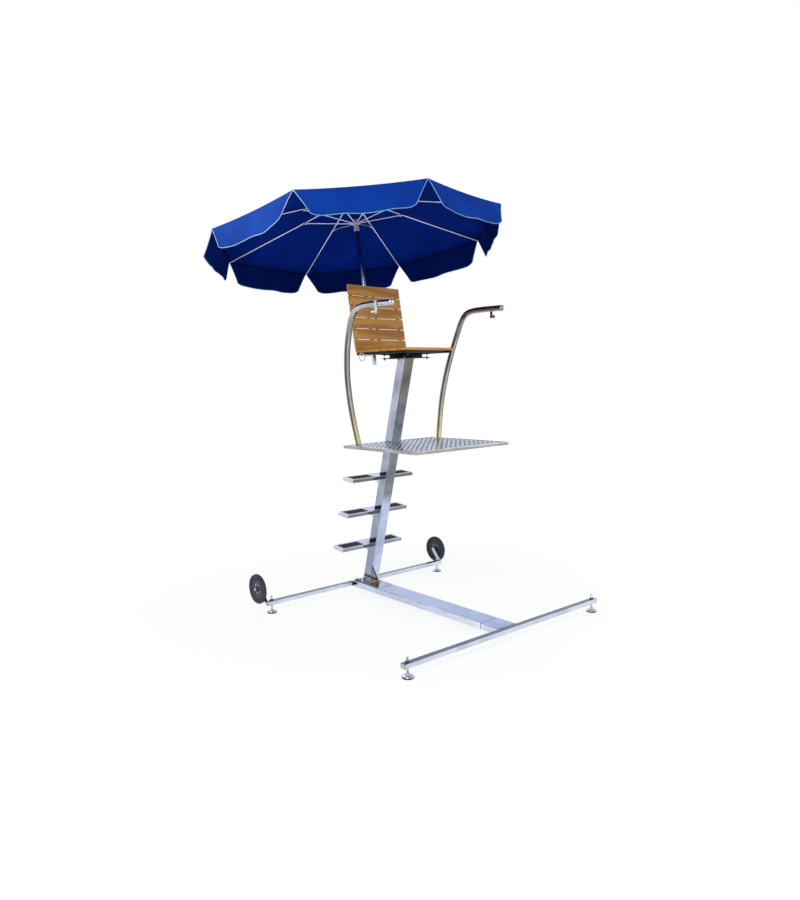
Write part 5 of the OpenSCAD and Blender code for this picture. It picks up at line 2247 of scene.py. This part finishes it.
                piece.add(prism(rounded(0.009, 0.011, 0.002, 3), lug, 0.009, 0.0008))
        top = self.height
        cap = [
            (0, top - 0.006), (0.036, top - 0.0065), (0.038, top - 0.005), (0.034, top + 0.0005),
            (0.022, top + 0.004),
        ]
        cap += [(0.012, top + 0.005), (0.009, top + 0.008), (0.005, top + 0.0105), (0, top + 0.011)]
        piece.add(revolve(cap, self.place.origin, self.place.axes[:, 2], 48))
        piece.build(40)


# ---------------------------------------------------------------- stage


@dataclass
class Stage:
    """Floor, light and camera."""

    sensor: float = 36.0
    lens: float = 29.402
    eye: tuple[float, float, float] = (-3.95651, -4.97092, 1.9785)
    yaw: float = -37.99
    pitch: float = -5.141
    roll: float = -1.667
    shift: tuple[float, float] = (0.03267, -0.00678)
    floor_half: float = 60.0
    sky: tuple[tuple[float, Colour], ...] = (
        (0.0, (1.0, 1.0, 1.0)),
        (0.2, (0.97, 0.98, 1.0)),
        (0.5, (0.62, 0.7, 0.9)),
        (1.0, (0.5, 0.56, 0.7)),
    )

    def build(self) -> None:
        """Builds the stage."""
        self.camera()
        self.world()
        self.floor()
        self.lamps()

    def camera(self) -> None:
        """Sets the camera at the chair's near left, a little under its seat."""
        data = bpy.data.cameras.new("camera")
        data.lens, data.sensor_width = self.lens, self.sensor
        data.sensor_fit = "AUTO"
        data.shift_x, data.shift_y = self.shift
        data.clip_start, data.clip_end = 0.05, 400
        a, p, q = (math.radians(x) for x in (self.yaw, self.pitch, self.roll))
        look = np.array([-math.sin(a) * math.cos(p), math.cos(a) * math.cos(p), math.sin(p)])
        right = np.array([math.cos(a), math.sin(a), 0])
        up = np.cross(right, look)
        side = math.cos(q) * right + math.sin(q) * up
        rise = -math.sin(q) * right + math.cos(q) * up
        matrix = np.eye(4)
        matrix[:3] = np.column_stack([side, rise, -look, self.eye])
        camera = placed("camera", data)
        camera.matrix_world = Matrix(matrix)
        bpy.context.scene.camera = camera

    def world(self) -> None:
        """Lights the scene softly and shows a white backdrop that turns pale blue overhead
        in reflections."""
        world = bpy.data.worlds.new("studio")
        bpy.context.scene.world = world
        world.use_nodes = True
        world.node_tree.nodes.clear()
        g = Graph(world.node_tree)
        up = g.node("ShaderNodeTexCoord").outputs["Generated"]
        fac = g.node("ShaderNodeSeparateXYZ", {0: up}).outputs["Z"]
        sky = g.ramp(fac, self.sky)
        camera_ray = g.node("ShaderNodeLightPath").outputs["Is Camera Ray"]
        white = g.mix(sky, (1.0, 1.0, 1.0), camera_ray)
        seen = g.node("ShaderNodeBackground", {"Color": white}).outputs[0]
        glow = {"Color": (0.93, 0.96, 1.0, 1), "Strength": 0.5}
        soft = g.node("ShaderNodeBackground", glow).outputs[0]
        mix = g.node("ShaderNodeMixShader", {0: g.backdrop(), 1: soft, 2: seen}).outputs[0]
        g.node("ShaderNodeOutputWorld", {0: mix})

    def floor(self) -> None:
        """Lays a pale floor that melts into the backdrop away from the chair."""
        mesh = bpy.data.meshes.new("floor")
        h = self.floor_half
        mesh.from_pydata([(-h, -h, 0), (h, -h, 0), (h, h, 0), (-h, h, 0)], [], [(0, 1, 2, 3)])
        floor = placed("floor", mesh)
        w = Weave("floor_paper")
        w.shader.inputs["Base Color"].default_value = (0.88, 0.88, 0.88, 1)
        w.shader.inputs["Roughness"].default_value = 0.95
        w.shader.inputs["Specular IOR Level"].default_value = 0.0
        far = w.node("ShaderNodeVectorMath", {0: w.where()}, operation="LENGTH").outputs["Value"]
        white = w.node("ShaderNodeEmission", {"Color": (1, 1, 1, 1), "Strength": 1.06})
        share = w.remap(far, 1.5, 5.0, (0.8, 1.0))
        factor = w.math("MULTIPLY", share, w.backdrop())
        mix = w.node(
            "ShaderNodeMixShader", {0: factor, 1: w.shader.outputs[0], 2: white.outputs[0]}
        )
        w.tree.links.new(mix.outputs[0], w.tree.nodes["Material Output"].inputs["Surface"])
        mesh.materials.append(w.material)

    def lamps(self) -> None:
        """Hangs three soft lamps: a key at the near left, a fill and a lamp behind."""
        lamps = [
            ("key", (-5.5, -4.0, 6.0), 4.0, 260.0, (1.0, 0.985, 0.96)),
            ("fill", (5.0, -4.5, 3.5), 4.0, 80.0, (0.93, 0.96, 1.0)),
            ("behind", (2.0, 6.0, 5.5), 3.5, 110.0, (0.97, 0.98, 1.0)),
        ]
        for name, spot, size, power, colour in lamps:
            data = bpy.data.lights.new(name, "AREA")
            data.shape, data.size, data.energy, data.color = "DISK", size, power, colour
            lamp = placed(name, data)
            away = Vector(spot) - Vector((0, 0, 1.6))
            lamp.rotation_mode = "QUATERNION"
            lamp.rotation_quaternion = away.to_track_quat("Z", "Y")
            lamp.location = spot


def view_settings() -> None:
    """Shows colours as they are written."""
    bpy.context.scene.view_settings.view_transform = "Standard"


def main() -> None:
    """Builds the stage and every sub-assembly in order."""
    logging.basicConfig(level=logging.INFO, format="%(name)s %(message)s")
    view_settings()
    Stage().build()
    finishes = Finishes()
    Base(finishes).build()
    for end in FEET:
        Foot(finishes, end).build()
    FootNuts(finishes).build()
    for side in Side:
        Wheel(finishes, side).build()
    AxleBolts(finishes).build()
    Mast(finishes).build()
    Treads(finishes).build()
    Deck(finishes).build()
    Handrails(finishes).build()
    Swivel(finishes).build()
    Seat(finishes).build()
    Umbrella(finishes).build()


if __name__ == "__main__":
    main()
